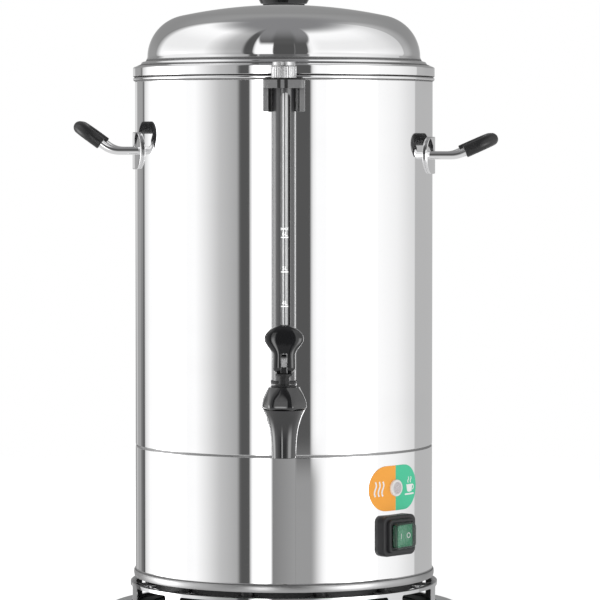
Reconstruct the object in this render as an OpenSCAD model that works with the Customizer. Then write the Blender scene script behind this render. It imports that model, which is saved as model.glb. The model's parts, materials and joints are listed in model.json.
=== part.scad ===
// Electric coffee urn: a polished tank over a heater housing on a windowed base, with a lift-off lid,
// a sight gauge, a lever tap, two side handles and a lift-out percolator basket and pump.
// Millimetres, +Z up. The origin is on the urn's axis at the table. The tap faces -Y.

/* [Tank and housing] */
// Outer radius of the tank and of the heater housing
tank_r = 113; // [104:1:122]
// Thickness of the polished sheet steel
sheet = 0.8; // [0.6:0.1:1]
// Height of the tank wall from the seam to the rolled rim
tank_h = 275.3; // [262:0.1:310]
// Radius of the rolled bead at the tank's rim
bead_t = 1.5; // [1.3:0.1:2]
// How far the rim bead and the housing's bottom lip stand out from the wall
lip_out = 1.5; // [1:0.1:1.8]
// Height of the housing's bottom lip
lip_h = 6.4; // [4:0.1:8]
// Height of the housing wall from its lip to the seam
housing_h = 92.6; // [90:0.1:110]
// Height of the open seam between housing and tank
seam_gap = 1.5; // [1:0.1:2.5]
// Depth of the tank's spigot inside the housing
spigot_h = 10.7; // [6:0.1:14]
// Height of the tank floor above the seam
floor_rise = 8.8; // [7:0.1:14]
// Radius of the pump well in the tank floor
well_r = 20; // [19:0.5:24]
// Depth of the pump well below the tank floor
well_h = 18; // [14:0.5:22]

/* [Base] */
// Radius of the foot plate
foot_plate_r = 136; // [132:1:150]
// Height of the foot plate's top above the table
foot_plate_z = 12; // [11:0.5:16]
// Depth of the foot plate's turned-down rim
foot_rim_h = 7.5; // [5:0.5:9]
// Thickness of the base's sheet steel
base_sheet = 1.2; // [1:0.1:1.6]
// How far the base ring stands outside the tank wall
ring_out = 4; // [2.5:0.5:8]
// Height of the windowed base ring
ring_h = 20; // [18:0.5:28]
// Height of the dark gap between the base ring and the housing
vent_gap = 4.2; // [3:0.1:8]
// Number of windows in the base ring
window_count = 12; // [10:1:14]
// Width of a window, straight across
window_w = 46; // [30:1:47]
// Height of a window
window_h = 14; // [8:0.5:14]
// Corner radius of a window
window_corner = 2; // [1:0.5:4]
// How far the base ring's bottom flange and the rubber foot ring reach inside the base ring
foot_reach = 13; // [12:0.5:16]
// How far the rubber foot ring stands inside the foot plate's edge
foot_inset = 8; // [6:0.5:14]

/* [Lid] */
// Gap between the lid and the tank rim
lid_gap = 0.3; // [0.2:0.1:0.5]
// Thickness of the lid's sheet
lid_sheet = 0.9; // [0.7:0.1:1.2]
// Height of the lid's outer lip
lid_lip_h = 7; // [5:0.1:9]
// Height of the stepped shoulder above the lip
shoulder_h = 4.9; // [4:0.1:7]
// How far the dome's wall stands inside the tank wall
dome_in = 9.4; // [8:0.1:14]
// Height of the dome's upright wall
dome_wall_h = 3; // [2:0.1:8]
// Radius of the dome's rounded edge
dome_corner = 32; // [20:0.1:36]
// Radius of the dome's shallow crown
dome_crown = 370; // [300:1:600]
// Depth of the locating skirt below the lid's lip
skirt_h = 8; // [5:0.5:12]
// Clearance of the skirt inside the rim bead
skirt_gap = 0.5; // [0.3:0.1:1]
// Greatest radius of the knob
knob_r = 20.8; // [18:0.1:26]
// Height of the knob
knob_h = 26; // [22:0.5:34]
// Thickness of the washer under the knob
knob_washer_t = 0.8; // [0.6:0.1:2]

/* [Handles] */
// Distance of the right handle's legs below the tank's rim
handle_drop = 59; // [44:0.1:96]
// Height of the left handle's legs above the right one's
left_raise = 3.5; // [0:0.5:4]
// Half the spacing of a handle's two legs
leg_y = 33; // [28:0.5:36]
// Radius of the handle rod
rod_r = 3; // [2.5:0.1:3.5]
// Radius of the black grip
grip_r = 4.75; // [4.2:0.05:6]
// Distance of the handle's bend outside the tank wall
bend_out = 16.8; // [16:0.1:22]
// Upward angle of the right handle beyond its bend
right_angle = 24; // [20:1:36]
// Upward angle of the left handle beyond its bend
left_angle = 36; // [20:1:36]
// Radius of the bend in the rod
bend_r = 20; // [14:0.5:26]
// Length of the sloped part, from the bend to the middle of the cross-bar
slope_len = 29.9; // [28:0.1:38]
// Radius of the handle's corners
handle_corner = 14; // [12:0.5:15]
// Length of the saddle plate
saddle_w = 84; // [80:1:90]
// Height of the saddle plate
saddle_h = 28; // [22:0.5:34]
// Thickness of the saddle plate
saddle_t = 2; // [1.8:0.1:2.6]

/* [Tap] */
// Distance of the tap's axis outside the tank wall
tap_reach = 45; // [43:0.5:55]
// Height of the tap's shank above the tank floor
tap_rise = 21; // [18:0.5:30]
// Outer radius of the spout's mouth
spout_r = 8.6; // [8:0.1:10]
// Bore radius of the spout
spout_bore = 6.4; // [5:0.1:6.8]
// Length of the spout below the shank's axis
spout_len = 27.2; // [24:0.2:36]
// Radius of the shank
shank_r = 8; // [7.5:0.1:8.5]
// Bore radius of the shank
shank_bore = 5; // [4:0.1:5.4]
// Corner radius of the bonnet's six-sided nut
bonnet_r = 16.7; // [16.2:0.1:18]
// Height of the bonnet's six-sided nut
bonnet_h = 11; // [10:0.2:14]
// Height of the bonnet's neck above its shoulder
neck_h = 9.5; // [8:0.1:14]
// Radius of the tap stem
stem_r = 2; // [1.8:0.1:2.2]
// Height of the lever's pin above the top of the neck
heel_a = 6; // [5.5:0.1:7]
// Rise of the stem for each radian of the lever
heel_c = 4; // [3:0.1:4.2]
// Greatest tilt of the lever
lever_tilt = 50; // [40:1:55]
// Height of the lever above its pin
lever_h = 29.1; // [26:0.1:34]
// Greatest half width of the lever's head
lever_head = 14.2; // [11:0.1:16]
// Radius of the lever's pin
pin_r = 1.5; // [1.2:0.1:1.6]

/* [Sight gauge] */
// Distance of the gauge's axis outside the tank wall
gauge_off = 13; // [12.6:0.1:15]
// Outer radius of the glass tube
glass_r = 4.5; // [4:0.1:4.6]
// Wall of the glass tube
glass_t = 1.3; // [0.8:0.1:1.6]
// Outer radius of the guard
guard_r = 8.5; // [8.2:0.1:9.8]
// Angle by which the guard is turned on the glass, toward the right handle
guard_turn = 8; // [0:1:12]
// Bore radius of the guard
guard_bore = 5.6; // [5.4:0.1:6.5]
// Width of the guard's slot, which is open at the front and the back
slot_w = 7; // [5:0.2:8]
// Height of the guard's foot above the shank's axis
guard_foot = 26.5; // [25.5:0.5:30]
// Distance from the rim down to the top of the bracket
bracket_drop = 3.2; // [3.2:0.1:12]
// Width of the bracket
bracket_w = 30.4; // [28.6:0.1:34]
// Height of the bracket's ears
bracket_h = 23.7; // [20:0.1:30]
// Radius of the gauge's cap
cap_r = 9.1; // [8.6:0.1:10]
// Height of the gauge's cap
cap_h = 12.1; // [11.6:0.1:15]

/* [Switch, lamp and inlet] */
// Bearing of the switch and lamp, from the front toward the right
panel_bearing = 47; // [40:1:60]
// Height of the switch above the housing's lip
switch_up = 32; // [28:0.5:34]
// Height of the lamp above the switch
lamp_up = 35.1; // [34.6:0.1:38]
// Width of the switch bezel's flange
bezel_w = 36; // [35:0.5:42]
// Height of the switch bezel's flange
bezel_h = 30; // [29:0.5:33]
// Width of the rocker
rocker_w = 19.4; // [18:0.5:22.5]
// Height of the rocker
rocker_h = 16.4; // [14:0.2:18.4]
// Tilt of the rocker to each side
rocker_tilt = 8; // [5:0.5:8]
// Width of the lamp's legend plate
legend_w = 53; // [46:1:60]
// Height of the lamp's legend plate
legend_h = 33.5; // [28:0.5:35]
// Radius of the lamp's lens
lens_r = 6.25; // [5:0.05:8]
// Height of the mains inlet above the housing's lip
inlet_up = 28; // [24:0.5:40]

/* [Percolator] */
// Outer radius of the pump tube
pump_r = 6; // [5.5:0.1:6.5]
// Wall of the pump tube
pump_t = 1; // [0.8:0.1:1.4]
// Height of the pump's collar above the tank floor
collar_up = 179; // [160:1:186]
// Outer radius of the coffee basket
basket_r = 95; // [80:1:98]
// Height of the coffee basket
basket_h = 75; // [60:1:77]
// Radius of a hole in the sieve and the spreader
sieve_hole = 1.6; // [1:0.1:2]
// Number of rings of holes in the sieve and the spreader
sieve_rings = 5; // [3:1:6]

/* [Hidden] */
$fn = 180;

// Clearances: seated faces, running fits, loose screws, and pieces that lift apart
seat = 0.05;
fit = 0.04;
loose = 0.2;
apart = 0.3;
// A cut reaches this far past the face that it opens
over = 1;
// A hole through the round wall is cut from this far inside it
wall_cut = 12;
// A swept ring is turned by this direction, which no route runs along
sweep_up = [0.36, 0.48, 0.8];

// Levels from the table up
ring_top = foot_plate_z + ring_h;
housing_z = ring_top + vent_gap;
crease_z = housing_z + lip_h;
seam_z = crease_z + housing_h;
tank_z = seam_z + seam_gap;
bead_z = tank_z + tank_h;
rim_z = bead_z + 2 * bead_t;
floor_z = tank_z + floor_rise;
floor_t = 1.2;
floor_under = floor_z - floor_t;
well_z = floor_z - well_h;
inner_r = tank_r - sheet;
spigot_r = inner_r - 0.1;

// Base ring and its fasteners
ring_r = tank_r + ring_out;
ring_sheet = 1;
ring_flange = 4;
window_lift = 0.5;
foot_in = ring_r - foot_reach;
foot_out = foot_plate_r - foot_inset;
foot_w = 24;
foot_hole = min(foot_in, foot_out - foot_w);
plate_under = foot_plate_z - base_sheet;
plate_corner = 3;
foot_bolt_r = foot_in + 7;
tab_r = tank_r - 9;
tab_w = 16;
tab_reach = 6;
bolt_r = 2;
bolt_hole = bolt_r + loose;
bolt_head_r = 3.8;
bolt_head_h = 2.4;
nut_r = 4;
nut_h = 3;
foot_pocket = 4.5;
foot_bolts = 4;
spacer_r = 4.5;
floor_plate_t = 1;
floor_plate_top = housing_z + floor_plate_t;
window_step = 360 / window_count;

// Lid
lid_z = rim_z + lid_gap;
lip_r = tank_r + lip_out;
dome_r = tank_r - dome_in;
skirt_r = lip_r - 2 * bead_t - skirt_gap;
shoulder_z = lid_z + lid_lip_h;
dome_z = shoulder_z + shoulder_h + dome_wall_h;
crown_z = dome_z - sqrt(pow(dome_crown - dome_corner, 2) - pow(dome_r - dome_corner, 2));
crown_angle = asin((dome_r - dome_corner) / (dome_crown - dome_corner));
lid_top = crown_z + dome_crown;
knob_z = lid_top + knob_washer_t;
knob_foot = 17.3;

// Handles
saddle_r = tank_r + saddle_t;
saddle_corner = 5;
leg_x = sqrt(pow(tank_r, 2) - pow(leg_y - rod_r, 2)) + seat;
bend_x = tank_r + bend_out;
grip_clear = 2.7;

// Tap
tap_y = -(tank_r + tap_reach);
tap_z = floor_z + tap_rise;
spout_z = tap_z - spout_len;
bonnet_z = tap_z + 7.5;
chamber_r = 10.5;
chamber_z = tap_z - 5.5;
seat_ridge = 1.5;
ridge_z = chamber_z + seat_ridge;
thread_r = 12.6;
thread_h = 7.2;
flare_r = bonnet_r * cos(30) + 0.8;
shoulder_up = 5.4;
bonnet_turn = -8;
neck_r = 3.8;
heel_plate_r = 6;
heel_plate_t = 1.6;
cover_r = 9.3;
cover_t = 0.8;
neck_z = bonnet_z + bonnet_h + shoulder_up;
neck_top = neck_z + neck_h;
heel_gap = 0.1;
pin_z = neck_top + heel_gap + heel_a;
stem_bore = stem_r + fit + 0.06;
stem_head_r = 3.5;
stem_head_h = 1;
blade_t = 4.1;
blade_w = 7;
blade_up = 4.4;
lever_slot = blade_t + 2 * apart;
lever_toe = 5;
lever_knuckle = 8.5;
lever_waist = 8.3;
pin_half = 7;
cup_z = ridge_z + loose;
cup_r = 9.4;
cup_shelf = cup_z + 3.9;
spring_r = 6.6;
spring_wire = 0.7;
spring_turns = 5;
spring_room = bonnet_z + thread_h + loose;
spring_well = 2.4;
shank_end = inner_r - 11;
flange_r = 13;
flange_t = 2;
gasket_t = 2.2;
nut_corner = 14;
nut_t = 6;

// Sight gauge
gauge_y = -(tank_r + gauge_off);
guard_z = tap_z + guard_foot;
bracket_top = rim_z - bracket_drop;
plate_t = 6.9;
slot_margin = 3.3;
slot_sill = 3;
guard_top = bracket_top - plate_t;
ear_gap = 2.6;
ear_in = guard_r + ear_gap;
tube_foot = tap_z + 11.5;
seal_t = 4;
seal_r = glass_r + 1.8;
boss_r = 8.6;
spigot_out = 6.3;
gauge_spigot = 5.6;
cap_lift = 0.2;
tube_top = bracket_top + gauge_spigot - 0.6;
ear_screw_x = (ear_in + bracket_w / 2) / 2;
ear_screw_z = guard_top - 5;
ear_screw_r = 1.5;
bracket_depth = 23;

// Switch, lamp and inlet
switch_z = crease_z + switch_up;
lamp_z = switch_z + lamp_up;
inlet_z = crease_z + inlet_up;
switch_out = 3;
rocker_axis = tank_r + switch_out + 0.5;
case_wall = 1.1;
pocket_w = rocker_w + 1.6;
pocket_d = 10;
pocket_h = rocker_h + 0.8;
case_w = pocket_w + 2 * case_wall;
case_h = pocket_h + 2 * case_wall;
case_front = tank_r + switch_out + 3.4;
case_depth = 25 + switch_out;
bezel_step = 4.7;
bezel_corner = 5;
bezel_out = 7.5;
bezel_rim = 2.6;
boot_out = switch_out + 9.2;
boot_t = 0.8;
legend_t = 0.4;
lamp_r = 5;
inlet_w = 28;
inlet_h = 20;
inlet_flange_w = 50;
inlet_flange_h = 25;
inlet_out = 3.2;
inlet_depth = 24;
inlet_screw_x = 20;
inlet_screw_r = 1.6;

lens_in = 7;
lens_out = 2.4;
lamp_l = 28.9;
inlet_tail = 4;
inlet_pitch = 7;
pin_t = 2;
pin_w = 4;
spade_t = 0.8;
spade_w = 6.3;
spade_l = 6;
spade_x = 6;

// Height of an inlet pin beside the inlet's middle: the middle one is higher
function pin_up(x) = x == 0 ? 3 : -1.5;

// Heater and wiring
heater_r = well_r + 12;
stud_x = well_r + 7;
stud_r = 2.5;
stud_h = 9;
warm_out = 40;
warm_r = well_r + warm_out;
warm_t = 4;
warm_z = floor_under - warm_t - seat;
warm_sweep = 320;
tail_r = 2;
tail = 12;
thermostat_y = well_r + 24;
can_r = 8;
can_h = 7;
block_w = 50;
block_d = 22;
block_h = 16;
ways = 3;
way_r = 2.6;
lead_r = 1.6;
lead_ease = 5;
lead_run = 20;
lead_gap = 0.1;

// Percolator
pump_foot_z = well_z + apart;
pump_foot_r = well_r - 3;
pump_foot_h = 8;
pump_room = 4.2;
valve_r = 11;
valve_t = 1;
collar_z = floor_z + collar_up;
basket_z = collar_z + apart;
basket_sheet = 0.8;
basket_top = basket_z + basket_h;
basket_ledge = 7;
spreader_z = basket_top + apart;
pump_top = spreader_z + 17;
sleeve_r = pump_r + 0.6;

// Shared shapes

// Points of an arc about [cx, cy], from angle a0 to a1 in n steps
function arc(cx, cy, r, a0, a1, n) =
    [for (i = [0 : n]) let (a = a0 + (a1 - a0) * i / n) [cx + r * cos(a), cy + r * sin(a)]];

// Outline of a thin upright wall: the outer points, and the same points moved in by t
function wall(points, t) = concat(points, [for (i = [len(points) - 1 : -1 : 0]) points[i] - [t, 0]]);

module lathe(points) { rotate_extrude() polygon(points); }

module tube(r_out, r_in, h) {
    difference() {
        cylinder(r = r_out, h = h);
        translate([0, 0, -over]) cylinder(r = r_in, h = h + 2 * over);
    }
}

// A flat outline set on a bearing, upright, and carried outward from radius r0 to r1
module outward(bearing, z, r0, r1) {
    rotate([0, 0, bearing]) translate([0, -r0, z]) rotate([90, 0, 0]) linear_extrude(r1 - r0) children();
}

module rounded(w, h, r) {
    square([w - 2 * r, h], center = true);
    square([w, h - 2 * r], center = true);
    for (x = [-1, 1], y = [-1, 1]) translate([x * (w / 2 - r), y * (h / 2 - r)]) circle(r);
}

module stadium(w, h) {
    square([w - h, h], center = true);
    for (x = [-1, 1]) translate([x * (w - h) / 2, 0]) circle(h / 2);
}

// A band of the housing or tank wall, from radius r0 to r1 and of height h about z
module band(z, h, r0, r1) { translate([0, 0, z - h / 2]) tube(r1, r0, h); }

module ring_of(count, r, start = 0) {
    for (i = [0 : count - 1]) rotate([0, 0, start + i * 360 / count]) translate([0, -r, 0]) children();
}

module screw(head_r, head_h, shank_r, length) {
    translate([0, 0, -head_h]) cylinder(r = head_r, h = head_h);
    cylinder(r = shank_r, h = length);
}

module nut(corner_r, bore_r, h) {
    difference() {
        cylinder(r = corner_r, h = h, $fn = 6);
        translate([0, 0, -over]) cylinder(r = bore_r, h = h + 2 * over);
    }
}

// Corners of a route cut back by d, so that a lead turns in two easy steps
function eased(points, d) = [for (i = [0 : len(points) - 1]) let (p = points[i], last = len(points) - 1)
    each (i == 0 || i == last ? [p] : [
        p + d * (points[i - 1] - p) / norm(points[i - 1] - p),
        p + d * (points[i + 1] - p) / norm(points[i + 1] - p)
    ])];

// One ring of a swept tube, set square across the path at its point i
function ring_at(points, i, r, sides) =
    let (a = points[max(i - 1, 0)], b = points[min(i + 1, len(points) - 1)], d = (b - a) / norm(b - a),
         u = cross(d, sweep_up) / norm(cross(d, sweep_up)), v = cross(d, u))
    [for (k = [0 : sides - 1]) points[i] + r * (cos(k * 360 / sides) * u + sin(k * 360 / sides) * v)];

// A round tube along a list of centre points, closed at both ends
module swept(points, r, sides) {
    n = len(points);
    rings = [for (i = [0 : n - 1]) each ring_at(points, i, r, sides)];
    skin = [for (i = [0 : n - 2], k = [0 : sides - 1]) let (p = i * sides + k, q = i * sides + (k + 1) % sides)
        each [[p, q, p + sides], [q, q + sides, p + sides]]];
    caps = [for (k = [1 : sides - 2]) each [
        [0, k + 1, k], [(n - 1) * sides, (n - 1) * sides + k, (n - 1) * sides + k + 1]
    ]];
    polyhedron(rings, concat(skin, caps));
}

// Base

module base_plate() {
    color("silver") difference() {
        lathe(concat(
            [[0, plate_under], [0, foot_plate_z]],
            arc(foot_plate_r - plate_corner, foot_plate_z - plate_corner, plate_corner, 90, 0, 5),
            [[foot_plate_r, foot_plate_z - foot_rim_h],
             [foot_plate_r - base_sheet, foot_plate_z - foot_rim_h]],
            arc(foot_plate_r - plate_corner, foot_plate_z - plate_corner, plate_corner - base_sheet, 0, 90, 5)
        ));
        ring_of(foot_bolts, foot_bolt_r, 45) cylinder(r = bolt_hole, h = 2 * foot_plate_z);
    }
}

module foot_ring() {
    color("dimgray") difference() {
        tube(foot_out, foot_hole, plate_under);
        ring_of(foot_bolts, foot_bolt_r, 45) {
            translate([0, 0, -over]) cylinder(r = nut_r + 0.6, h = foot_pocket + over);
            cylinder(r = bolt_hole, h = foot_plate_z);
        }
    }
}

module foot_screws() {
    color("gray") ring_of(foot_bolts, foot_bolt_r, 45) translate([0, 0, foot_pocket])
        screw(bolt_head_r, bolt_head_h, bolt_r, foot_plate_z + ring_sheet + nut_h + 1 - foot_pocket);
}

module foot_nuts() {
    color("gray") ring_of(foot_bolts, foot_bolt_r, 45) translate([0, 0, foot_plate_z + ring_sheet])
        nut(nut_r, bolt_r + fit, nut_h);
}

module base_ring() {
    window_z = (foot_plate_z + ring_top) / 2 + window_lift;
    color("gainsboro") difference() {
        union() {
            translate([0, 0, foot_plate_z]) tube(ring_r, ring_r - ring_sheet, ring_h);
            translate([0, 0, foot_plate_z]) tube(ring_r - ring_sheet / 2, foot_in, ring_sheet);
            for (i = [0 : window_count - 1]) rotate([0, 0, (i + 0.5) * window_step])
                translate([-tab_w / 2, -(ring_r - ring_sheet), ring_top - ring_sheet])
                    cube([tab_w, ring_r - ring_sheet - tab_r + tab_reach, ring_sheet]);
            translate([0, 0, ring_top - ring_sheet])
                tube(ring_r - ring_sheet / 2, ring_r - ring_flange, ring_sheet);
        }
        for (i = [0 : window_count - 1])
            outward(i * window_step, window_z, ring_r - ring_flange - over, ring_r + over)
                rounded(window_w, window_h, window_corner);
        ring_of(foot_bolts, foot_bolt_r, 45) cylinder(r = bolt_hole, h = ring_top - 2 * ring_sheet);
        ring_of(window_count, tab_r, window_step / 2) translate([0, 0, ring_top - 2 * ring_sheet])
            cylinder(r = bolt_hole, h = ring_h);
    }
}

module ring_spacers() {
    color("black") ring_of(window_count, tab_r, window_step / 2) translate([0, 0, ring_top])
        tube(spacer_r, bolt_hole, vent_gap);
}

module ring_screws() {
    color("gray") ring_of(window_count, tab_r, window_step / 2) translate([0, 0, ring_top - ring_sheet])
        screw(bolt_head_r, bolt_head_h, bolt_r, ring_sheet + vent_gap + floor_plate_t + nut_h + 1);
}

module ring_nuts() {
    color("gray") ring_of(window_count, tab_r, window_step / 2) translate([0, 0, floor_plate_top])
        nut(nut_r, bolt_r + fit, nut_h);
}

// Housing and tank

module housing_floor() {
    rim_h = 9;
    color("black") difference() {
        union() {
            translate([0, 0, housing_z]) cylinder(r = inner_r - seat, h = floor_plate_t);
            translate([0, 0, housing_z]) tube(inner_r - seat, inner_r - seat - floor_plate_t, rim_h);
        }
        ring_of(window_count, tab_r, window_step / 2) cylinder(r = bolt_hole, h = crease_z);
    }
}

module lower_housing() {
    ease = 0.9;
    color("lightgray") difference() {
        lathe(wall([
            [tank_r, seam_z], [tank_r, crease_z], [lip_r, crease_z - ease],
            [lip_r, housing_z + ease], [lip_r - 0.5, housing_z]
        ], sheet));
        outward(panel_bearing, switch_z, tank_r - wall_cut, tank_r + over)
            square([case_w + loose, case_h + loose], center = true);
        outward(panel_bearing, lamp_z, tank_r - wall_cut, tank_r + over) circle(lens_r + seat);
        outward(180, inlet_z, tank_r - wall_cut, tank_r + over)
            square([inlet_w + loose, inlet_h + loose], center = true);
        for (x = [-1, 1]) outward(180, inlet_z, tank_r - wall_cut, tank_r + over)
            translate([x * inlet_screw_x, 0]) circle(inlet_screw_r + seat);
    }
}

module tank_shell() {
    joggle = 0.8;
    color("lightgray") difference() {
        union() {
            lathe([
                [tank_r, tank_z], [tank_r, rim_z - bead_t], [inner_r, rim_z - bead_t],
                [inner_r, tank_z + joggle], [spigot_r - sheet, tank_z + joggle],
                [spigot_r - sheet, tank_z - spigot_h], [spigot_r, tank_z - spigot_h], [spigot_r, tank_z]
            ]);
            translate([0, 0, rim_z - bead_t]) rotate_extrude() translate([lip_r - bead_t, 0]) circle(bead_t);
        }
        outward(0, tap_z, inner_r - wall_cut, tank_r + over) circle(shank_r + seat);
        for (x = [-1, 1]) outward(0, ear_screw_z, inner_r - wall_cut, tank_r + over)
            translate([x * ear_screw_x, 0]) circle(ear_screw_r + loose);
    }
}

module tank_floor() {
    skirt = 6;
    floor_r = inner_r - seat;
    color("silver") lathe([
        [0, well_z], [well_r, well_z], [well_r, floor_z], [floor_r, floor_z],
        [floor_r, floor_z - skirt], [floor_r - floor_t, floor_z - skirt], [floor_r - floor_t, floor_under],
        [well_r + floor_t, floor_under], [well_r + floor_t, well_z - floor_t], [0, well_z - floor_t]
    ]);
}

// Handles: each is a saddle plate, a bent rod and a sleeve over the rod's cross-bar

function handle_z(side) = rim_z - handle_drop + (side > 0 ? 0 : left_raise);
function bend_angle(side) = side > 0 ? right_angle : left_angle;
function bend_tangent(side) = bend_r * tan(bend_angle(side) / 2);

module handle_side(side) { if (side > 0) children(); else mirror([1, 0, 0]) children(); }

// The U of the handle beyond its bend, lying along +X, from start to the cross-bar
module handle_loop(r, start) {
    reach = slope_len - handle_corner;
    half = leg_y - handle_corner;
    for (m = [0, 1]) mirror([0, m, 0]) {
        translate([start, leg_y, 0]) rotate([0, 90, 0]) cylinder(r = r, h = reach - start);
        translate([reach, half, 0]) rotate_extrude(angle = 90) translate([handle_corner, 0]) circle(r);
    }
    translate([slope_len, -half, 0]) rotate([-90, 0, 0]) cylinder(r = r, h = 2 * half);
}

module on_slope(side) {
    translate([bend_x, 0, handle_z(side)]) rotate([0, -bend_angle(side), 0]) children();
}

module handle_plate(side) {
    color("gainsboro") handle_side(side) difference() {
        intersection() {
            band(handle_z(side), 2 * saddle_h, tank_r + seat, saddle_r);
            outward(90, handle_z(side), tank_r / 2, saddle_r + over)
                rounded(saddle_w, saddle_h, saddle_corner);
        }
        for (y = [-1, 1]) translate([tank_r / 2, y * leg_y, handle_z(side)]) rotate([0, 90, 0])
            cylinder(r = rod_r + seat, h = tank_r);
    }
}

// Centre line of the rod from one foot, round the bend, the slope and the corner, to the middle of the bar
function rod_half(side) =
    let (bend_steps = 6, corner_steps = 8, up = [cos(bend_angle(side)), 0, sin(bend_angle(side))],
         leg_z = handle_z(side), bend_start = bend_x - bend_tangent(side), bend = [bend_x, 0, leg_z],
         reach = slope_len - handle_corner, half = leg_y - handle_corner)
    concat(
        [[leg_x, leg_y, leg_z]],
        [for (i = [0 : bend_steps]) let (a = bend_angle(side) * i / bend_steps)
            [bend_start + bend_r * sin(a), leg_y, leg_z + bend_r * (1 - cos(a))]],
        [for (i = [0 : corner_steps]) let (a = 90 - 90 * i / corner_steps)
            bend + up * (reach + handle_corner * cos(a)) + [0, half + handle_corner * sin(a), 0]],
        [bend + up * slope_len]
    );

module handle_rod(side) {
    sides = 16;
    half = rod_half(side);
    back = [for (i = [len(half) - 2 : -1 : 0]) [half[i][0], -half[i][1], half[i][2]]];
    color("silver") handle_side(side) swept(concat(half, back), rod_r, sides);
}

module handle_grip(side) {
    start = bend_tangent(side) + grip_clear;
    color("black") handle_side(side) on_slope(side) difference() {
        handle_loop(grip_r, start);
        handle_loop(rod_r + seat, start - over);
    }
}

// Tap

module at_tap() { translate([0, tap_y, 0]) children(); }
module at_gauge() { translate([0, gauge_y, 0]) children(); }

// The spout widens slowly, then quickly, toward the nut above it
function flare(t) = spout_r + 0.9 * t + (flare_r - spout_r - 0.9) * pow(t, 3.2);

module tap_body() {
    steps = 10;
    collar_h = 7;
    collar_r = guard_r + 0.3;
    flange_y = tank_r + gasket_t;
    color("black") difference() {
        union() {
            at_tap() lathe(concat(
                [[0, spout_z]],
                [for (i = [0 : steps]) [flare(i / steps), spout_z + (bonnet_z - spout_z) * i / steps]],
                [[thread_r, bonnet_z], [thread_r, bonnet_z + thread_h], [0, bonnet_z + thread_h]]
            ));
            outward(0, tap_z, shank_end, tank_r + tap_reach) circle(shank_r);
            outward(0, tap_z, flange_y, flange_y + flange_t) circle(flange_r);
            at_gauge() translate([0, 0, tap_z]) cylinder(r = boss_r, h = guard_foot - over);
            at_gauge() translate([0, 0, guard_z - collar_h]) cylinder(r1 = boss_r, r2 = collar_r, h = collar_h);
        }
        at_tap() {
            translate([0, 0, spout_z - over]) cylinder(r = spout_bore, h = spout_len);
            translate([0, 0, ridge_z]) cylinder(r = chamber_r, h = 2 * thread_h + bonnet_z - ridge_z);
            translate([0, 0, chamber_z]) tube(chamber_r, spout_bore + 1.6, seat_ridge + 0.01);
            translate([0, 0, chamber_z - 0.8]) cylinder(r = spout_bore, h = seat_ridge + 2);
        }
        outward(0, tap_z, shank_end - over, tank_r + tap_reach - chamber_r + 2) circle(shank_bore);
        at_gauge() {
            translate([0, 0, tap_z]) cylinder(r = glass_r - glass_t, h = guard_foot);
            translate([0, 0, tube_foot]) cylinder(r = glass_r + seat, h = guard_foot);
            translate([0, 0, guard_z - seal_t]) cylinder(r = seal_r + seat, h = seal_t + over);
        }
    }
}

module tap_bonnet() {
    chamfer = 1.6;
    top = bonnet_z + bonnet_h;
    shoulder_r = bonnet_r * cos(30) - 0.3;
    color("black") at_tap() difference() {
        union() {
            intersection() {
                translate([0, 0, bonnet_z + seat]) rotate([0, 0, bonnet_turn])
                    cylinder(r = bonnet_r, h = bonnet_h - seat, $fn = 6);
                lathe([
                    [0, bonnet_z], [bonnet_r - chamfer, bonnet_z], [bonnet_r, bonnet_z + chamfer],
                    [bonnet_r, top - chamfer], [bonnet_r - chamfer, top], [0, top]
                ]);
            }
            translate([0, 0, top - over]) cylinder(r = shoulder_r, h = 2 * over);
            translate([0, 0, top + over]) cylinder(r1 = shoulder_r, r2 = shoulder_r - 3, h = shoulder_up - over);
            translate([0, 0, top]) cylinder(r = neck_r, h = shoulder_up + neck_h);
            translate([0, 0, neck_z - over]) cylinder(r = cover_r, h = cover_t + over);
            translate([0, 0, neck_top - heel_plate_t]) cylinder(r = heel_plate_r, h = heel_plate_t);
        }
        translate([0, 0, bonnet_z - over]) cylinder(r = thread_r + seat, h = thread_h + over + loose);
        translate([0, 0, spring_room - over]) cylinder(r = chamber_r - over, h = spring_well + over);
        translate([0, 0, bonnet_z]) cylinder(r = stem_bore, h = neck_top);
    }
}

module tap_gaskets() {
    color("whitesmoke") {
        difference() {
            outward(0, tap_z, tank_r - 4, tank_r + gasket_t) circle(flange_r - 0.5);
            outward(0, tap_z, tank_r - 5, tank_r + gasket_t + over) circle(shank_r + seat);
            translate([0, 0, tap_z - 2 * flange_r]) cylinder(r = tank_r + seat / 2, h = 4 * flange_r);
        }
        difference() {
            intersection() {
                outward(0, tap_z, inner_r - gasket_t - 1, tank_r) circle(flange_r - 0.5);
                translate([0, 0, tap_z - 2 * flange_r]) cylinder(r = inner_r - seat / 2, h = 4 * flange_r);
            }
            outward(0, tap_z, inner_r - 6, tank_r + over) circle(shank_r + seat);
        }
    }
}

module tap_nut() {
    nut_y = inner_r - gasket_t - 1;
    color("white") outward(0, tap_z, nut_y - nut_t, nut_y) difference() {
        circle(nut_corner, $fn = 6);
        circle(shank_r + fit);
    }
}

module tap_stem() {
    blade_foot = neck_top + 2 * apart;
    color("silver") at_tap() difference() {
        union() {
            translate([0, 0, cup_z]) cylinder(r = stem_head_r, h = stem_head_h);
            translate([0, 0, cup_z]) cylinder(r = stem_r, h = pin_z - cup_z);
            translate([-blade_t / 2, -blade_w / 2, blade_foot])
                cube([blade_t, blade_w, pin_z + blade_up - blade_foot]);
            translate([-blade_t / 2, 0, pin_z + blade_up]) rotate([0, 90, 0])
                cylinder(r = blade_w / 2, h = blade_t);
        }
        translate([-blade_t, 0, pin_z]) rotate([0, 90, 0]) cylinder(r = pin_r + fit, h = 2 * blade_t);
    }
}

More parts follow.
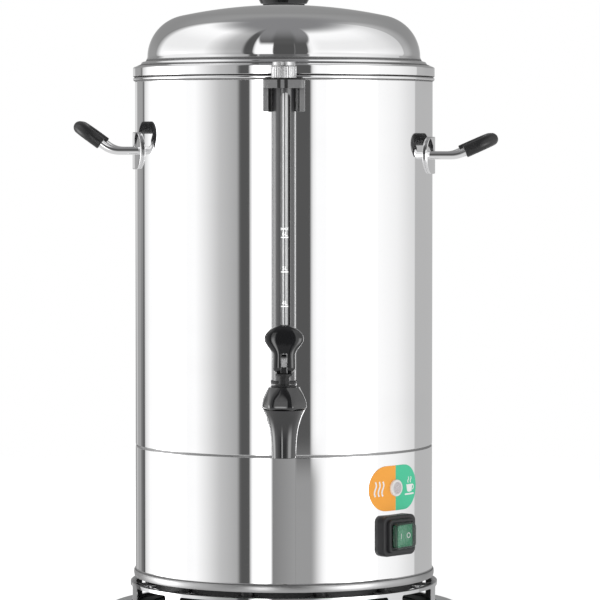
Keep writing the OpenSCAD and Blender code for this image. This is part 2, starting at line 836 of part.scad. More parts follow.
module seat_cup() {
    core_r = 4.2;
    recess = cup_z + stem_head_h + seat;
    color("dimgray") at_tap() lathe([
        [stem_head_r + seat, cup_z], [cup_r - 0.4, cup_z], [cup_r, cup_z + 0.8], [cup_r, cup_shelf - 0.8],
        [cup_r - 1, cup_shelf], [core_r, cup_shelf], [core_r, cup_shelf + 2.4], [stem_r + fit, cup_shelf + 2.4],
        [stem_r + fit, recess], [stem_head_r + seat, recess]
    ]);
}

module tap_spring() {
    rings = 8;
    sides = 6;
    bottom = cup_shelf + spring_wire + loose;
    top = spring_room + spring_well - spring_wire - loose;
    path = [for (i = [0 : rings * spring_turns]) let (a = i * 360 / rings)
        [spring_r * cos(a), spring_r * sin(a), bottom + (top - bottom) * i / (rings * spring_turns)]];
    color("lightsteelblue") at_tap() swept(path, spring_wire, sides);
}

module lever_pin() {
    color("silver") at_tap() translate([-pin_half, 0, pin_z]) rotate([0, 90, 0])
        cylinder(r = pin_r, h = 2 * pin_half);
}

// Heel of the lever: an involute, whose lowest point drops by heel_c for each radian of tilt
function heel(a) = (heel_a + heel_c * a * PI / 180) * [sin(a), -cos(a)] + heel_c * [cos(a), sin(a)];

// Half width of the lever at a share t of its height: from the toe to the knuckle, the waist and the round head
function lever_half(t) =
    t < 0.12 ? lever_toe + (lever_knuckle - lever_toe) * sin(t / 0.12 * 90) :
    t < 0.38 ? lever_waist + (lever_knuckle - lever_waist) * (1 + cos((t - 0.12) / 0.26 * 180)) / 2 :
    t < 0.71 ? lever_waist + (lever_head - lever_waist) * (1 - cos((t - 0.38) / 0.33 * 180)) / 2 :
    lever_head * pow(max(0, 1 - pow((t - 0.71) / 0.29, 2)), 0.62);

module tap_lever() {
    heel_steps = 8;
    outline_steps = 32;
    front = [for (i = [0 : heel_steps]) heel((lever_tilt + 6) * i / heel_steps)];
    back_x = -5;
    side = concat(front, [
        [6.2, 9], [5, lever_h - 5], [3.2, lever_h - 1], [0, lever_h], [-3, lever_h - 1.4],
        [-4, lever_h - 6], [back_x, 6], [back_x, -heel_a + 1], [back_x + 1, -heel_a]
    ]);
    tall = heel_a + lever_h;
    right = [for (i = [0 : outline_steps]) [lever_half(i / outline_steps), -heel_a + tall * i / outline_steps]];
    left = [for (i = [outline_steps : -1 : 0]) [-right[i][0], right[i][1]]];
    slot_top = 8.5;
    color("black") at_tap() translate([0, 0, pin_z]) difference() {
        intersection() {
            translate([-lever_head - over, 0, 0]) rotate([90, 0, 90])
                linear_extrude(2 * lever_head + 2 * over) polygon([for (p = side) [-p[0], p[1]]]);
            translate([0, 2 * tall, 0]) rotate([90, 0, 0]) linear_extrude(4 * tall) polygon(concat(right, left));
        }
        translate([-lever_slot / 2, -tall, -tall]) cube([lever_slot, 2 * tall, tall + slot_top]);
        translate([-2 * lever_head, 0, 0]) rotate([0, 90, 0]) cylinder(r = pin_r + fit, h = 4 * lever_head);
    }
}

// Sight gauge

module gauge_tube() {
    color("lightcyan") at_gauge() translate([0, 0, tube_foot + loose])
        tube(glass_r, glass_r - glass_t, tube_top - tube_foot - loose);
}

module gauge_guard() {
    slot_top = guard_top - slot_margin - slot_w / 2;
    slot_foot = guard_z + slot_sill;
    color("black") at_gauge() difference() {
        translate([0, 0, guard_z]) tube(guard_r, guard_bore, guard_top - guard_z);
        rotate([0, 0, guard_turn]) {
            translate([0, 0, slot_top]) rotate([90, 0, 0]) cylinder(d = slot_w, h = 4 * guard_r, center = true);
            translate([-slot_w / 2, -2 * guard_r, slot_foot]) cube([slot_w, 4 * guard_r, slot_top - slot_foot]);
        }
    }
}

module gauge_bracket() {
    ear_foot = bracket_top - bracket_h;
    corner = 4;
    depth = bracket_depth;
    color("black") difference() {
        union() {
            translate([0, -tank_r - depth / 2, guard_top]) linear_extrude(plate_t) {
                rounded(bracket_w, depth, corner);
                translate([-bracket_w / 2, 0]) square([bracket_w, depth / 2 + corner]);
            }
            for (x = [-1, 1]) translate([x * (ear_in + bracket_w / 2) / 2, -tank_r - depth / 2 + 2, ear_foot])
                linear_extrude(guard_top - ear_foot + over)
                    square([bracket_w / 2 - ear_in, depth], center = true);
            at_gauge() translate([0, 0, bracket_top - over]) cylinder(r = spigot_out, h = gauge_spigot + over);
        }
        translate([0, 0, ear_foot - over]) cylinder(r = tank_r + seat / 2, h = 2 * bracket_h);
        translate([0, 0, bead_z - 2]) cylinder(r = lip_r + apart, h = 2 * bracket_h);
        at_gauge() translate([0, 0, ear_foot]) cylinder(r = glass_r + seat, h = 2 * bracket_h);
        at_gauge() translate([0, 0, guard_top - over]) cylinder(r = seal_r + seat, h = seal_t + over);
        for (x = [-1, 1]) outward(0, ear_screw_z, tank_r - 8, tank_r + 11)
            translate([x * ear_screw_x, 0]) circle(ear_screw_r + fit);
    }
}

module gauge_seals() {
    color("darkred") at_gauge() for (z = [guard_z - seal_t, guard_top])
        translate([0, 0, z]) tube(seal_r, glass_r + fit, seal_t - seat);
}

module bracket_screws() {
    head_y = inner_r - 1.2;
    color("silver") for (x = [-1, 1]) translate([x * ear_screw_x, -head_y, ear_screw_z]) rotate([90, 0, 0])
        screw(2.8, 2, ear_screw_r, tank_r + 10.6 - head_y);
}

module gauge_cap() {
    ribs = 28;
    smooth_h = 3.5;
    rib_r = 0.5;
    foot = bracket_top + cap_lift;
    rib_h = cap_h - smooth_h - 0.6;
    color("silver") at_gauge() difference() {
        union() {
            lathe([
                [0, foot], [cap_r - 0.5, foot], [cap_r - 0.3, foot + 0.4], [cap_r - 0.3, foot + cap_h - smooth_h],
                [cap_r - 0.8, foot + cap_h - smooth_h + 0.6], [cap_r - 0.8, foot + cap_h - 1],
                [cap_r - 2, foot + cap_h], [0, foot + cap_h]
            ]);
            ring_of(ribs, cap_r - rib_r) translate([0, 0, foot + 0.4]) cylinder(r = rib_r, h = rib_h, $fn = 16);
        }
        translate([0, 0, foot - over]) cylinder(r = spigot_out + fit, h = gauge_spigot + over);
    }
}

// Heater and wiring

module heater_block() {
    color("darkgray") {
        lathe([
            [well_r + floor_t + seat, well_z], [heater_r, well_z],
            [heater_r, floor_under - seat], [well_r + floor_t + seat, floor_under - seat]
        ]);
        ring_of(2, stud_x, 90) translate([0, 0, well_z - stud_h]) cylinder(r = stud_r, h = stud_h + over);
    }
}

module keep_warm_element() {
    color("dimgray") {
        translate([0, 0, warm_z]) rotate_extrude(angle = warm_sweep) translate([warm_r, 0]) circle(warm_t);
        for (a = [3, warm_sweep - 3]) rotate([0, 0, a]) translate([warm_r, 0, warm_z - tail])
            cylinder(r = tail_r, h = tail);
    }
}

module thermostat() {
    color("tan") translate([0, thermostat_y, floor_under - seat - can_h]) {
        cylinder(r = can_r, h = can_h);
        translate([0, 0, can_h - floor_t]) linear_extrude(floor_t) stadium(3.5 * can_r, 1.25 * can_r);
        for (x = [-1, 1]) translate([(x * can_r - spade_t) / 2, -spade_w / 2, -can_h])
            cube([spade_t, spade_w, can_h + over]);
    }
}

module terminal_block() {
    color("ivory") difference() {
        translate([-block_w / 2, -block_d / 2, floor_plate_top]) cube([block_w, block_d, block_h]);
        for (i = [0 : ways - 1]) translate([(i - 1) * block_w / ways, 0, 0]) {
            translate([0, -block_d, floor_plate_top + block_h / 2]) rotate([-90, 0, 0])
                cylinder(r = way_r, h = 2 * block_d);
            for (y = [-1, 1]) translate([0, y * block_d / 4, floor_plate_top + block_h / 2])
                cylinder(r = way_r + 3 * loose, h = block_h);
        }
    }
}

// Leads inside the housing, from the terminal block to the inlet, switch, lamp and heater
module wiring_loom() {
    module lead(points) { swept(eased(points, lead_ease), lead_r, 8); }
    wire_z = floor_plate_top + block_h / 2;
    step = block_w / ways;
    near = block_d / 2 - 3;
    tail_z = well_z - stud_h - lead_gap;
    pin_back = tank_r - inlet_depth - inlet_tail - lead_gap;
    spade_back = case_front - case_depth - spade_l - lead_gap;
    lamp_back = tank_r - lamp_l - lead_gap;
    bearing = [sin(panel_bearing), -cos(panel_bearing)];
    across = [cos(panel_bearing), sin(panel_bearing)];
    color("firebrick") {
        for (i = [-1 : 1])
            lead([[i * step, near, wire_z], [i * step, near + lead_run, wire_z],
                [i * inlet_pitch, pin_back - lead_run, inlet_z], [i * inlet_pitch, pin_back, inlet_z]]);
        for (k = [-1, 1]) let (side = across * spade_x * k, p = bearing * spade_back + side,
                               q = bearing * (spade_back - lead_run) + side)
            lead([[k * step, -near, wire_z], [k * step, -near - lead_run, wire_z], [q[0], q[1], switch_z],
                [p[0], p[1], switch_z]]);
        let (p = bearing * lamp_back, q = bearing * (lamp_back - lead_run))
            lead([[0, -near, wire_z], [0, -near - lead_run, wire_z], [q[0], q[1], lamp_z], [p[0], p[1], lamp_z]]);
        for (k = [-1, 1])
            lead([[k * stud_x, 0, tail_z], [k * stud_x, 0, tail_z - lead_run],
                [k * (block_w / 2 + lead_ease), 0, wire_z], [k * (block_w / 2 + lead_gap), 0, wire_z]]);
    }
}

// Switch and lamp

module switch_bezel() {
    color("black") difference() {
        union() {
            outward(panel_bearing, switch_z, tank_r - 2, tank_r + bezel_step)
                rounded(bezel_w, bezel_h, bezel_corner);
            outward(panel_bearing, switch_z, tank_r, tank_r + bezel_out)
                rounded(case_w + 2 * bezel_rim, case_h + 2 * bezel_rim, 2);
        }
        translate([0, 0, switch_z - bezel_h]) cylinder(r = tank_r + seat / 2, h = 2 * bezel_h);
        outward(panel_bearing, switch_z, tank_r - 8, tank_r + bezel_out + over)
            square([case_w + 0.1, case_h + 0.1], center = true);
    }
}

module switch_boot() {
    boot_foot = case_front + seat;
    color("lightgreen") difference() {
        outward(panel_bearing, switch_z, boot_foot, tank_r + boot_out) rounded(case_w - 0.1, case_h - 0.1, 2);
        outward(panel_bearing, switch_z, boot_foot - over, tank_r + boot_out - boot_t)
            rounded(case_w - 2 * boot_t, case_h - 2 * boot_t, 1.2);
    }
}

module switch_case() {
    back = case_front - case_depth;
    color("black") difference() {
        union() {
            outward(panel_bearing, switch_z, back, case_front) square([case_w, case_h], center = true);
            for (x = [-1, 1]) outward(panel_bearing, switch_z, back - spade_l, back + over)
                translate([x * spade_x, 0]) square([spade_t, spade_w], center = true);
        }
        outward(panel_bearing, switch_z, case_front - pocket_d, case_front + over)
            square([pocket_w, pocket_h], center = true);
        rotate([0, 0, panel_bearing]) translate([0, -rocker_axis, switch_z - case_h / 2 + 0.4])
            cylinder(r = 1.5 + fit, h = case_h - 0.8);
    }
}

module switch_rocker() {
    half = rocker_w / 2;
    crown = 6.2;
    dip = 1.3;
    color("seagreen") rotate([0, 0, panel_bearing]) translate([0, -rocker_axis, switch_z])
        rotate([0, 0, rocker_tilt]) {
        translate([0, 0, -rocker_h / 2]) linear_extrude(rocker_h) polygon([
            [-half, -crown], [0, dip - crown], [half, -crown], [half - 1, -1], [4, 3], [-4, 3], [1 - half, -1]
        ]);
        translate([0, 0, -pocket_h / 2 - 0.5]) cylinder(r = 1.5, h = pocket_h + 1);
    }
}

module indicator_label() {
    color("orange") difference() {
        intersection() {
            band(lamp_z, 2 * legend_h, tank_r + seat / 2, tank_r + legend_t);
            outward(panel_bearing, lamp_z, tank_r / 2, tank_r + over) stadium(legend_w, legend_h);
        }
        outward(panel_bearing, lamp_z, tank_r / 2, tank_r + over) circle(lens_r + seat);
    }
}

module indicator_lens() {
    edge = 1.2;
    rise = lens_in + lens_out;
    color("whitesmoke") rotate([0, 0, panel_bearing]) translate([0, lens_in - tank_r, lamp_z])
        rotate([90, 0, 0]) lathe(concat(
            [[0, 0], [lens_r, 0], [lens_r, rise - 1.5 * edge]],
            arc(lens_r - edge, rise - 1.5 * edge, edge, 0, 90, 4),
            [[0, rise]]
        ));
}

module indicator_lamp() {
    color("dimgray") {
        outward(panel_bearing, lamp_z, tank_r - lamp_l, tank_r - lens_in) circle(lamp_r);
        outward(panel_bearing, lamp_z, tank_r - lens_in - 2, tank_r - lens_in) circle(lens_r + 1.5);
    }
}

// Mains inlet

module inlet_socket() {
    recess_w = 24;
    recess_h = 16.5;
    recess = 15;
    color("black") difference() {
        union() {
            outward(180, inlet_z, tank_r - 5, tank_r + inlet_out) rounded(inlet_flange_w, inlet_flange_h, 6);
            outward(180, inlet_z, tank_r - inlet_depth, tank_r) square([inlet_w, inlet_h], center = true);
        }
        difference() {
            outward(180, inlet_z, tank_r - 8, tank_r + over) square(2 * inlet_flange_w, center = true);
            outward(180, inlet_z, tank_r - 9, tank_r + 2 * over) square([inlet_w, inlet_h], center = true);
            band(inlet_z, 4 * inlet_flange_h, tank_r + seat / 2, tank_r + inlet_depth);
        }
        outward(180, inlet_z, tank_r + inlet_out - recess, tank_r + inlet_out + over)
            rounded(recess_w, recess_h, 3);
        for (x = [-1 : 1]) outward(180, inlet_z, tank_r - inlet_depth - over, tank_r)
            translate([x * inlet_pitch, pin_up(x)]) square([pin_t + 2 * seat, pin_w + 2 * seat], center = true);
        for (x = [-1, 1]) outward(180, inlet_z, tank_r - 12, tank_r + inlet_out + over)
            translate([x * inlet_screw_x, 0]) circle(inlet_screw_r + seat);
    }
}

module inlet_pins() {
    back = tank_r - inlet_depth - inlet_tail;
    color("goldenrod") for (x = [-1 : 1]) outward(180, inlet_z, back, tank_r + inlet_out - pin_up(0))
        translate([x * inlet_pitch, pin_up(x)]) square([pin_t, pin_w], center = true);
}

module inlet_screws() {
    color("silver") for (x = [-1, 1]) rotate([0, 0, 180])
        translate([x * inlet_screw_x, -tank_r - inlet_out, inlet_z]) rotate([-90, 0, 0])
            screw(2 * inlet_screw_r, inlet_screw_r, inlet_screw_r, wall_cut);
}

// Lid

module lid_shell() {
    steps = 12;
    low_in = [lid_sheet * 0.63, lid_sheet * 0.78];
    step = [lip_r - 5.8, shoulder_z + shoulder_h * 0.49];
    ledge = [lip_r - 6.6, shoulder_z + shoulder_h * 0.84];
    neck = [dome_r + 1.2, shoulder_z + shoulder_h];
    color("lightgray") difference() {
        lathe(concat(
            [[skirt_r, lid_z - skirt_h], [skirt_r, lid_z], [lip_r, lid_z], [lip_r, shoulder_z],
             step, ledge, neck],
            arc(dome_r - dome_corner, dome_z, dome_corner, 0, 90 - crown_angle, steps),
            [for (i = [1 : steps]) let (a = crown_angle * (1 - i / steps))
                [dome_crown * sin(a), crown_z + dome_crown * cos(a)]],
            [for (i = [0 : steps - 1]) let (a = crown_angle * i / steps)
                [(dome_crown - lid_sheet) * sin(a), crown_z + (dome_crown - lid_sheet) * cos(a)]],
            arc(dome_r - dome_corner, dome_z, dome_corner - lid_sheet, 90 - crown_angle, 0, steps),
            [neck - low_in, ledge - low_in, step - low_in,
             [skirt_r - lid_sheet, shoulder_z - lid_sheet], [skirt_r - lid_sheet, lid_z - skirt_h]]
        ));
        translate([0, 0, lid_top - 4]) cylinder(r = bolt_hole, h = 8);
    }
}

module lid_knob() {
    steps = 10;
    waist = knob_h * 0.38;
    crown = knob_h - waist;
    color("black") difference() {
        lathe(concat(
            [[0, knob_z], [knob_foot, knob_z]],
            [for (i = [1 : steps]) let (a = 90 * i / steps)
                [knob_foot + (knob_r - knob_foot) * sin(a), knob_z + waist * i / steps]],
            [for (i = [1 : steps]) let (a = 90 * i / steps)
                [knob_r * pow(cos(a), 0.7), knob_z + waist + crown * pow(sin(a), 0.9)]]
        ));
        translate([0, 0, knob_z - over]) cylinder(r = bolt_r + fit, h = 16 + over);
    }
}

module knob_washer() {
    steps = 4;
    rim = knob_foot - 1.5;
    color("dimgray") lathe(concat(
        [[bolt_hole, knob_z - seat], [rim, knob_z - seat]],
        [for (i = [0 : steps]) let (r = rim + (bolt_hole - rim) * i / steps)
            [r, crown_z + seat + sqrt(pow(dome_crown, 2) - pow(r, 2))]]
    ));
}

module knob_screw() {
    knob_thread = 15;
    head_top = lid_top - lid_sheet - seat;
    color("silver") translate([0, 0, head_top])
        screw(bolt_head_r, bolt_head_h, bolt_r, knob_z + knob_thread - head_top);
}

// Percolator

module pump_tube() {
    collar_r = pump_r + 6;
    foot = pump_foot_z + pump_foot_h - 3;
    color("silver") difference() {
        union() {
            translate([0, 0, foot]) cylinder(r = pump_r, h = pump_top - foot);
            translate([0, 0, collar_z - 4]) cylinder(r1 = pump_r, r2 = collar_r, h = 4);
        }
        translate([0, 0, foot - over]) cylinder(r = pump_r - pump_t, h = pump_top);
    }
}

module pump_foot() {
    lip_t = 0.5;
    color("gainsboro") translate([0, 0, pump_foot_z]) difference() {
        lathe([
            [0, 0], [pump_foot_r, 0], [pump_foot_r, pump_room], [pump_r + 3, pump_foot_h], [0, pump_foot_h]
        ]);
        translate([0, 0, lip_t]) cylinder(r = valve_r + 1, h = pump_room - lip_t);
        translate([0, 0, -over]) cylinder(r = valve_r - 1.5, h = 2 * over);
        cylinder(r = pump_r - pump_t, h = 2 * pump_foot_h);
        translate([0, 0, pump_foot_h - 3]) cylinder(r = pump_r + seat, h = pump_foot_h);
        ring_of(4, pump_foot_r, 45) translate([0, -over, 2.4]) rotate([-90, 0, 0]) cylinder(r = 1.2, h = 8);
    }
}

module valve_disc() {
    color("gold") translate([0, 0, pump_foot_z + 0.5 + apart]) cylinder(r = valve_r, h = valve_t);
}

// A sheet disc with rings of holes, bored for the pump
module sieve_sheet(r, bore, t) {
    first = bore + 10;
    pitch = (r - first - 8) / (sieve_rings - 1);
    linear_extrude(t) difference() {
        circle(r);
        circle(bore);
        for (k = [0 : sieve_rings - 1], i = [0 : 10 + 6 * k - 1])
            rotate(i * 360 / (10 + 6 * k) + k * 7) translate([first + pitch * k, 0]) circle(sieve_hole);
    }
}

module basket_shell() {
    color("lightgray") translate([0, 0, basket_z]) {
        tube(basket_r, basket_r - basket_sheet, basket_h);
        tube(basket_r - basket_sheet / 2, basket_r - basket_ledge, basket_sheet);
    }
}

module basket_sieve() {
    sieve_z = basket_z + basket_sheet;
    sieve_t = 0.6;
    color("silver") {
        translate([0, 0, sieve_z + seat / 2]) sieve_sheet(basket_r - basket_sheet - loose, sleeve_r, sieve_t);
        translate([0, 0, basket_z]) tube(sleeve_r + 1.2, sleeve_r, basket_h - 2);
    }
}

module spreader() {
    skirt = 4;
    sheet_t = 0.8;
    outer = basket_r - basket_sheet - 2 * apart;
    color("silver") translate([0, 0, spreader_z]) {
        sieve_sheet(basket_r, sleeve_r, sheet_t);
        translate([0, 0, -skirt]) tube(outer, outer - sheet_t, skirt + sheet_t / 2);
    }
}

base_plate();
foot_ring();
foot_screws();
foot_nuts();
base_ring();
ring_spacers();
ring_screws();
ring_nuts();
housing_floor();
lower_housing();
tank_shell();
tank_floor();
handle_plate(-1);  // left_handle_plate
handle_rod(-1);  // left_handle_rod
handle_grip(-1);  // left_handle_grip
handle_plate(1);  // right_handle_plate
handle_rod(1);  // right_handle_rod
handle_grip(1);  // right_handle_grip
tap_body();
tap_bonnet();
tap_gaskets();
tap_nut();
tap_stem();
seat_cup();
tap_spring();
lever_pin();
tap_lever();
gauge_tube();
gauge_guard();
gauge_bracket();
gauge_seals();
bracket_screws();
gauge_cap();
heater_block();
keep_warm_element();
thermostat();
terminal_block();
wiring_loom();
switch_bezel();
switch_boot();
switch_case();
switch_rocker();
indicator_label();
indicator_lens();
indicator_lamp();
inlet_socket();
inlet_pins();
inlet_screws();
lid_shell();
lid_knob();
knob_washer();
knob_screw();
pump_tube();
pump_foot();
valve_disc();
basket_shell();
basket_sieve();
spreader();
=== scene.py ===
"""Looks of an electric coffee urn around its frame: steel, mouldings, gauge, tap, switch and studio."""

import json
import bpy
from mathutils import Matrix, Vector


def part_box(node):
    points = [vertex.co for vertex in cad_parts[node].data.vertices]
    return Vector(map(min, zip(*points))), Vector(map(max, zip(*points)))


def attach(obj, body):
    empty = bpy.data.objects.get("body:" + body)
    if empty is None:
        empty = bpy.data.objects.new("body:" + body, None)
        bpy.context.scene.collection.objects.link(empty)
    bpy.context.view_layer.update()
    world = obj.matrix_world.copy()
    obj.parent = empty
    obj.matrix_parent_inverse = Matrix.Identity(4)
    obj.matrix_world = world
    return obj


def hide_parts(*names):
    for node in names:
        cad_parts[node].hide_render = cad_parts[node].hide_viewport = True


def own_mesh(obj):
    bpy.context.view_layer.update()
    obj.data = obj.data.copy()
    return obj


bl_info = {
    "name": "Coffee urn",
    "version": (1, 0, 0),
    "blender": (4, 5, 0),
    "location": "3D View > Sidebar > Urn",
    "description": "Builds the finished surfaces, materials and studio of a coffee urn around its frame",
    "category": "Object",
}

import bmesh
import bpy
import numpy as np
from bpy.props import FloatProperty, FloatVectorProperty, PointerProperty

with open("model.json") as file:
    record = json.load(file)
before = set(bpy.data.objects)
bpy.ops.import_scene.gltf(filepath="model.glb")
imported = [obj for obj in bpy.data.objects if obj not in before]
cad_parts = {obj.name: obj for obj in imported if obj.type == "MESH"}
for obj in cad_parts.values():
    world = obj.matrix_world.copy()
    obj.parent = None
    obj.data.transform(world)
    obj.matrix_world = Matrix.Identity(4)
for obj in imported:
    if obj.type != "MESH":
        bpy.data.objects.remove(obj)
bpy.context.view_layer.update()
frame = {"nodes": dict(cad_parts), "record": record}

MM = 0.001
IMAGE_PX = 600
SENSOR_MM = 36.0
# The fixed body, which the urn's housing, tank and fittings ride on
BODY = "urn"
# Turns of a large polished surface, of a small round piece and of a thin tube
FINE = 256
ROUND = 96
THIN = 40
# Angle in degrees above which an edge stays sharp, and lengths below which points and edges are merged
SHARP = 38
MERGE = 0.002 * MM
SLIVER = 0.0005 * MM
# Rounding of a bent sheet's edge, and the smallest corners of a plate and of a frame
SHEET_EDGE = 0.5 * MM
PLATE_CORNER = 0.05 * MM
FRAME_CORNER = 0.2 * MM


def span(node):
    """Lowest and highest corner of a frame node, as arrays in metres."""
    low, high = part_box(node)
    return np.array(low), np.array(high)


def middle(node):
    """Centre of a frame node's box."""
    low, high = span(node)
    return (low + high) / 2


def foot_of(node):
    """Height of a frame node's lowest point."""
    return float(span(node)[0][2])


def top_of(node):
    """Height of a frame node's highest point."""
    return float(span(node)[1][2])


def radius_of(node):
    """Reach of a frame node to the right: the radius of a round piece in the middle of the urn."""
    return float(span(node)[1][0])


def size(label, about, mm):
    """A length that a user may change, given here in millimetres."""
    return FloatProperty(name=label, description=about, default=mm * MM, unit="LENGTH", precision=5)


def colour(label, about, value):
    """A colour that a user may change, in linear light."""
    return FloatVectorProperty(
        name=label, description=about, default=value, size=3, subtype="COLOR", min=0, max=1
    )


def share(label, about, value):
    """A plain number that a user may change."""
    return FloatProperty(name=label, description=about, default=value)


class UrnSizes(bpy.types.PropertyGroup):
    """Sizes of the finish that the frame's boxes don't give."""

    sheet: size("Sheet", "Thickness of the polished sheet steel", 0.8)
    lip_out: size("Lip", "How far the rim bead and bottom lip stand out from the wall", 1.5)
    bead: size("Bead", "Radius of the rolled bead at the tank's rim", 1.5)
    seam_gap: size("Seam", "Height of the open seam between housing and tank", 1.5)
    lip_h: size("Lip height", "Height of the housing's bottom lip", 6.4)
    lid_gap: size("Lid gap", "Gap between the lid and the tank's rim", 0.3)
    rod_r: size("Rod", "Radius of the handle rod", 3)
    grip_r: size("Grip", "Radius of the handle's black sleeve", 4.75)
    soft_edge: size("Soft edge", "Rounding of moulded edges", 0.6)


class UrnColours(bpy.types.PropertyGroup):
    """Colours of the finishes, in linear light."""

    steel: colour("Steel", "Polished and satin steel", (0.9, 0.9, 0.905))
    black: colour("Black", "Glossy and matt black mouldings", (0.009, 0.009, 0.01))
    rubber: colour("Rubber", "Sleeves and foot ring", (0.014, 0.014, 0.015))
    rocker: colour("Rocker", "Green switch rocker", (0.045, 0.24, 0.125))
    orange: colour("Orange", "Left half of the lamp's legend", (1.0, 0.43, 0.07))
    green: colour("Green", "Right half of the lamp's legend", (0.085, 0.62, 0.36))
    white: colour("White", "Printed marks", (0.9, 0.9, 0.9))


class UrnStudio(bpy.types.PropertyGroup):
    """Camera and light."""

    distance: size("Distance", "From the camera to the urn's axis", 2650)
    height: size("Height", "Height of the camera above the table", 365)
    focal_px: share("Focal length", "Focal length in pixels of a 600 pixel frame", 3480)
    bearing: share("Bearing", "Bearing of the camera round the urn, in degrees", 0.0)
    axis_px: share("Axis", "Column of the frame that the urn's axis falls on", 283.9)
    horizon_px: share("Horizon", "Row of the frame that the camera's height falls on", 143.4)
    key: share("Key lamp", "Power of the soft lamp above the front, in watts", 16)


# Surfaces


def closed(grid):
    """The grid with its first column repeated at its end, so that it closes around."""
    return np.concatenate([grid, grid[:, :1]], axis=1)


def lathe(profile, at=(0, 0, 0), axis=2, turns=ROUND):
    """Surface of revolution: each (radius, height) of the profile is carried round an axis through `at`."""
    p = np.asarray(profile, float)
    a = np.linspace(0, 2 * np.pi, turns + 1)
    across = np.outer(p[:, 0], np.cos(a)), np.outer(p[:, 0], np.sin(a))
    grid = np.zeros((len(p), turns + 1, 3))
    grid[..., axis] = p[:, 1:2]
    grid[..., (axis + 1) % 3] = across[0]
    grid[..., (axis + 2) % 3] = across[1]
    return grid + np.asarray(at)


def eased(corners, ease, steps=6):
    """A line through corners, each inner one replaced by a quadratic curve that starts `ease` before it."""
    p = np.asarray(corners, float)
    before, after = p[:-2] - p[1:-1], p[2:] - p[1:-1]
    near = np.linalg.norm(before, axis=1)
    far = np.linalg.norm(after, axis=1)
    reach = np.minimum(ease, 0.49 * np.minimum(near, far))[:, None]
    a = p[1:-1] + before / near[:, None] * reach
    b = p[1:-1] + after / far[:, None] * reach
    t = np.linspace(0, 1, steps)[None, :, None]
    curve = (1 - t) ** 2 * a[:, None] + 2 * t * (1 - t) * p[1:-1, None] + t**2 * b[:, None]
    return np.concatenate([p[:1], curve.reshape(-1, p.shape[1]), p[-1:]])


def along(path):
    """Running length of a line at each of its points."""
    return np.concatenate([[0], np.cumsum(np.linalg.norm(np.diff(path, axis=0), axis=1))])


def resampled(path, lengths):
    """Points of a line at the given running lengths."""
    s = along(path)
    return np.column_stack([np.interp(lengths, s, path[:, k]) for k in range(path.shape[1])])


def supported(profile, longest=8 * MM, edge=0.25 * MM):
    """The line with extra points close beside the ends of long stretches, so that a mirror stays true."""
    p = np.asarray(profile, float)
    s = along(p)
    wide = np.diff(s) > 4 * edge
    extra = [s[:-1][wide] + edge, s[1:][wide] - edge, np.arange(0, s[-1], longest)]
    return resampled(p, np.unique(np.concatenate([s, *extra])))


def arc(centre, radius, start, end, steps):
    """Points of an arc about a centre, from one angle to another, in degrees."""
    a = np.radians(np.linspace(start, end, steps + 1))
    return np.column_stack([centre[0] + radius * np.cos(a), centre[1] + radius * np.sin(a)])


def tube(path, radius, sides=THIN):
    """A round section carried along a path: ring i lies across the path at point i, with its own radius."""
    ahead = np.gradient(path, axis=0)
    ahead /= np.linalg.norm(ahead, axis=1)[:, None]
    side = np.cross(ahead, (0.36, 0.48, 0.8))
    side /= np.linalg.norm(side, axis=1)[:, None]
    other = np.cross(ahead, side)
    a = np.linspace(0, 2 * np.pi, sides + 1)[None, :, None]
    r = np.broadcast_to(radius, len(path))[:, None, None]
    return path[:, None] + r * (np.cos(a) * side[:, None] + np.sin(a) * other[:, None])


def rounded_rect(w, h, r, steps=10, sides=12):
    """Closed outline of a rectangle with round corners, against the clock, with points along its sides."""
    corners = [(1, 1, 0), (-1, 1, 90), (-1, -1, 180), (1, -1, 270)]
    arcs = [arc((x * (w / 2 - r), y * (h / 2 - r)), r, a, a + 90, steps) for x, y, a in corners]
    t = np.arange(1, sides)[:, None] / sides
    lines = [here[-1] + t * (after[0] - here[-1]) for here, after in zip(arcs, arcs[1:] + arcs[:1])]
    return np.concatenate([part for pair in zip(arcs, lines) for part in pair])


def stacked(rows):
    """Closed grid of flat outlines, each at its own height."""
    return closed(np.array([np.column_stack([line, np.full(len(line), z)]) for line, z in rows]))


def rounding(edge, high, steps=6):
    """Inset and height of each step round an outer edge, up to the height `high`."""
    turn = np.radians(np.linspace(0, 90, steps))
    return [(edge * (1 - np.cos(t)), high - edge + edge * np.sin(t)) for t in turn]


def plate(w, h, r, low, high, edge, cap=6):
    """A rounded rectangular plate from height low to high, whose upper edge is rounded by `edge` and whose
    faces shrink to their middle."""
    steps = [(0, low)] + rounding(edge, high)
    rows = [(rounded_rect(w - 2 * d, h - 2 * d, max(r - d, PLATE_CORNER)), z) for d, z in steps]
    shrink = np.linspace(1, 0, cap + 1)[1:]
    under = [(rows[0][0] * f, rows[0][1]) for f in shrink[::-1]]
    over = [(rows[-1][0] * f, rows[-1][1]) for f in shrink]
    return stacked(under + rows + over)


def hoop(inner, outer, low, high):
    """Closed section of a plain ring."""
    return [(inner, low), (outer, low), (outer, high), (inner, high), (inner, low)]


def capped(grid):
    """The grid with its first and last rows closed over their middles."""
    middles = grid[[0, -1]].mean(axis=1, keepdims=True)
    ends = np.repeat(middles, grid.shape[1], axis=1)
    return np.concatenate([ends[:1], grid, ends[1:]])


def on_wall(grid, bearing, z, radius, wrap):
    """Sets a plate on the urn's wall: x along it, y up and height outward, bent round the wall or flat."""
    x, y, out = np.moveaxis(grid, -1, 0)
    if wrap:
        a = bearing + x / radius
        return np.stack([(radius + out) * np.sin(a), -(radius + out) * np.cos(a), z + y], -1)
    s, c = np.sin(bearing), np.cos(bearing)
    return np.stack([x * c + (radius + out) * s, x * s - (radius + out) * c, z + y], -1)


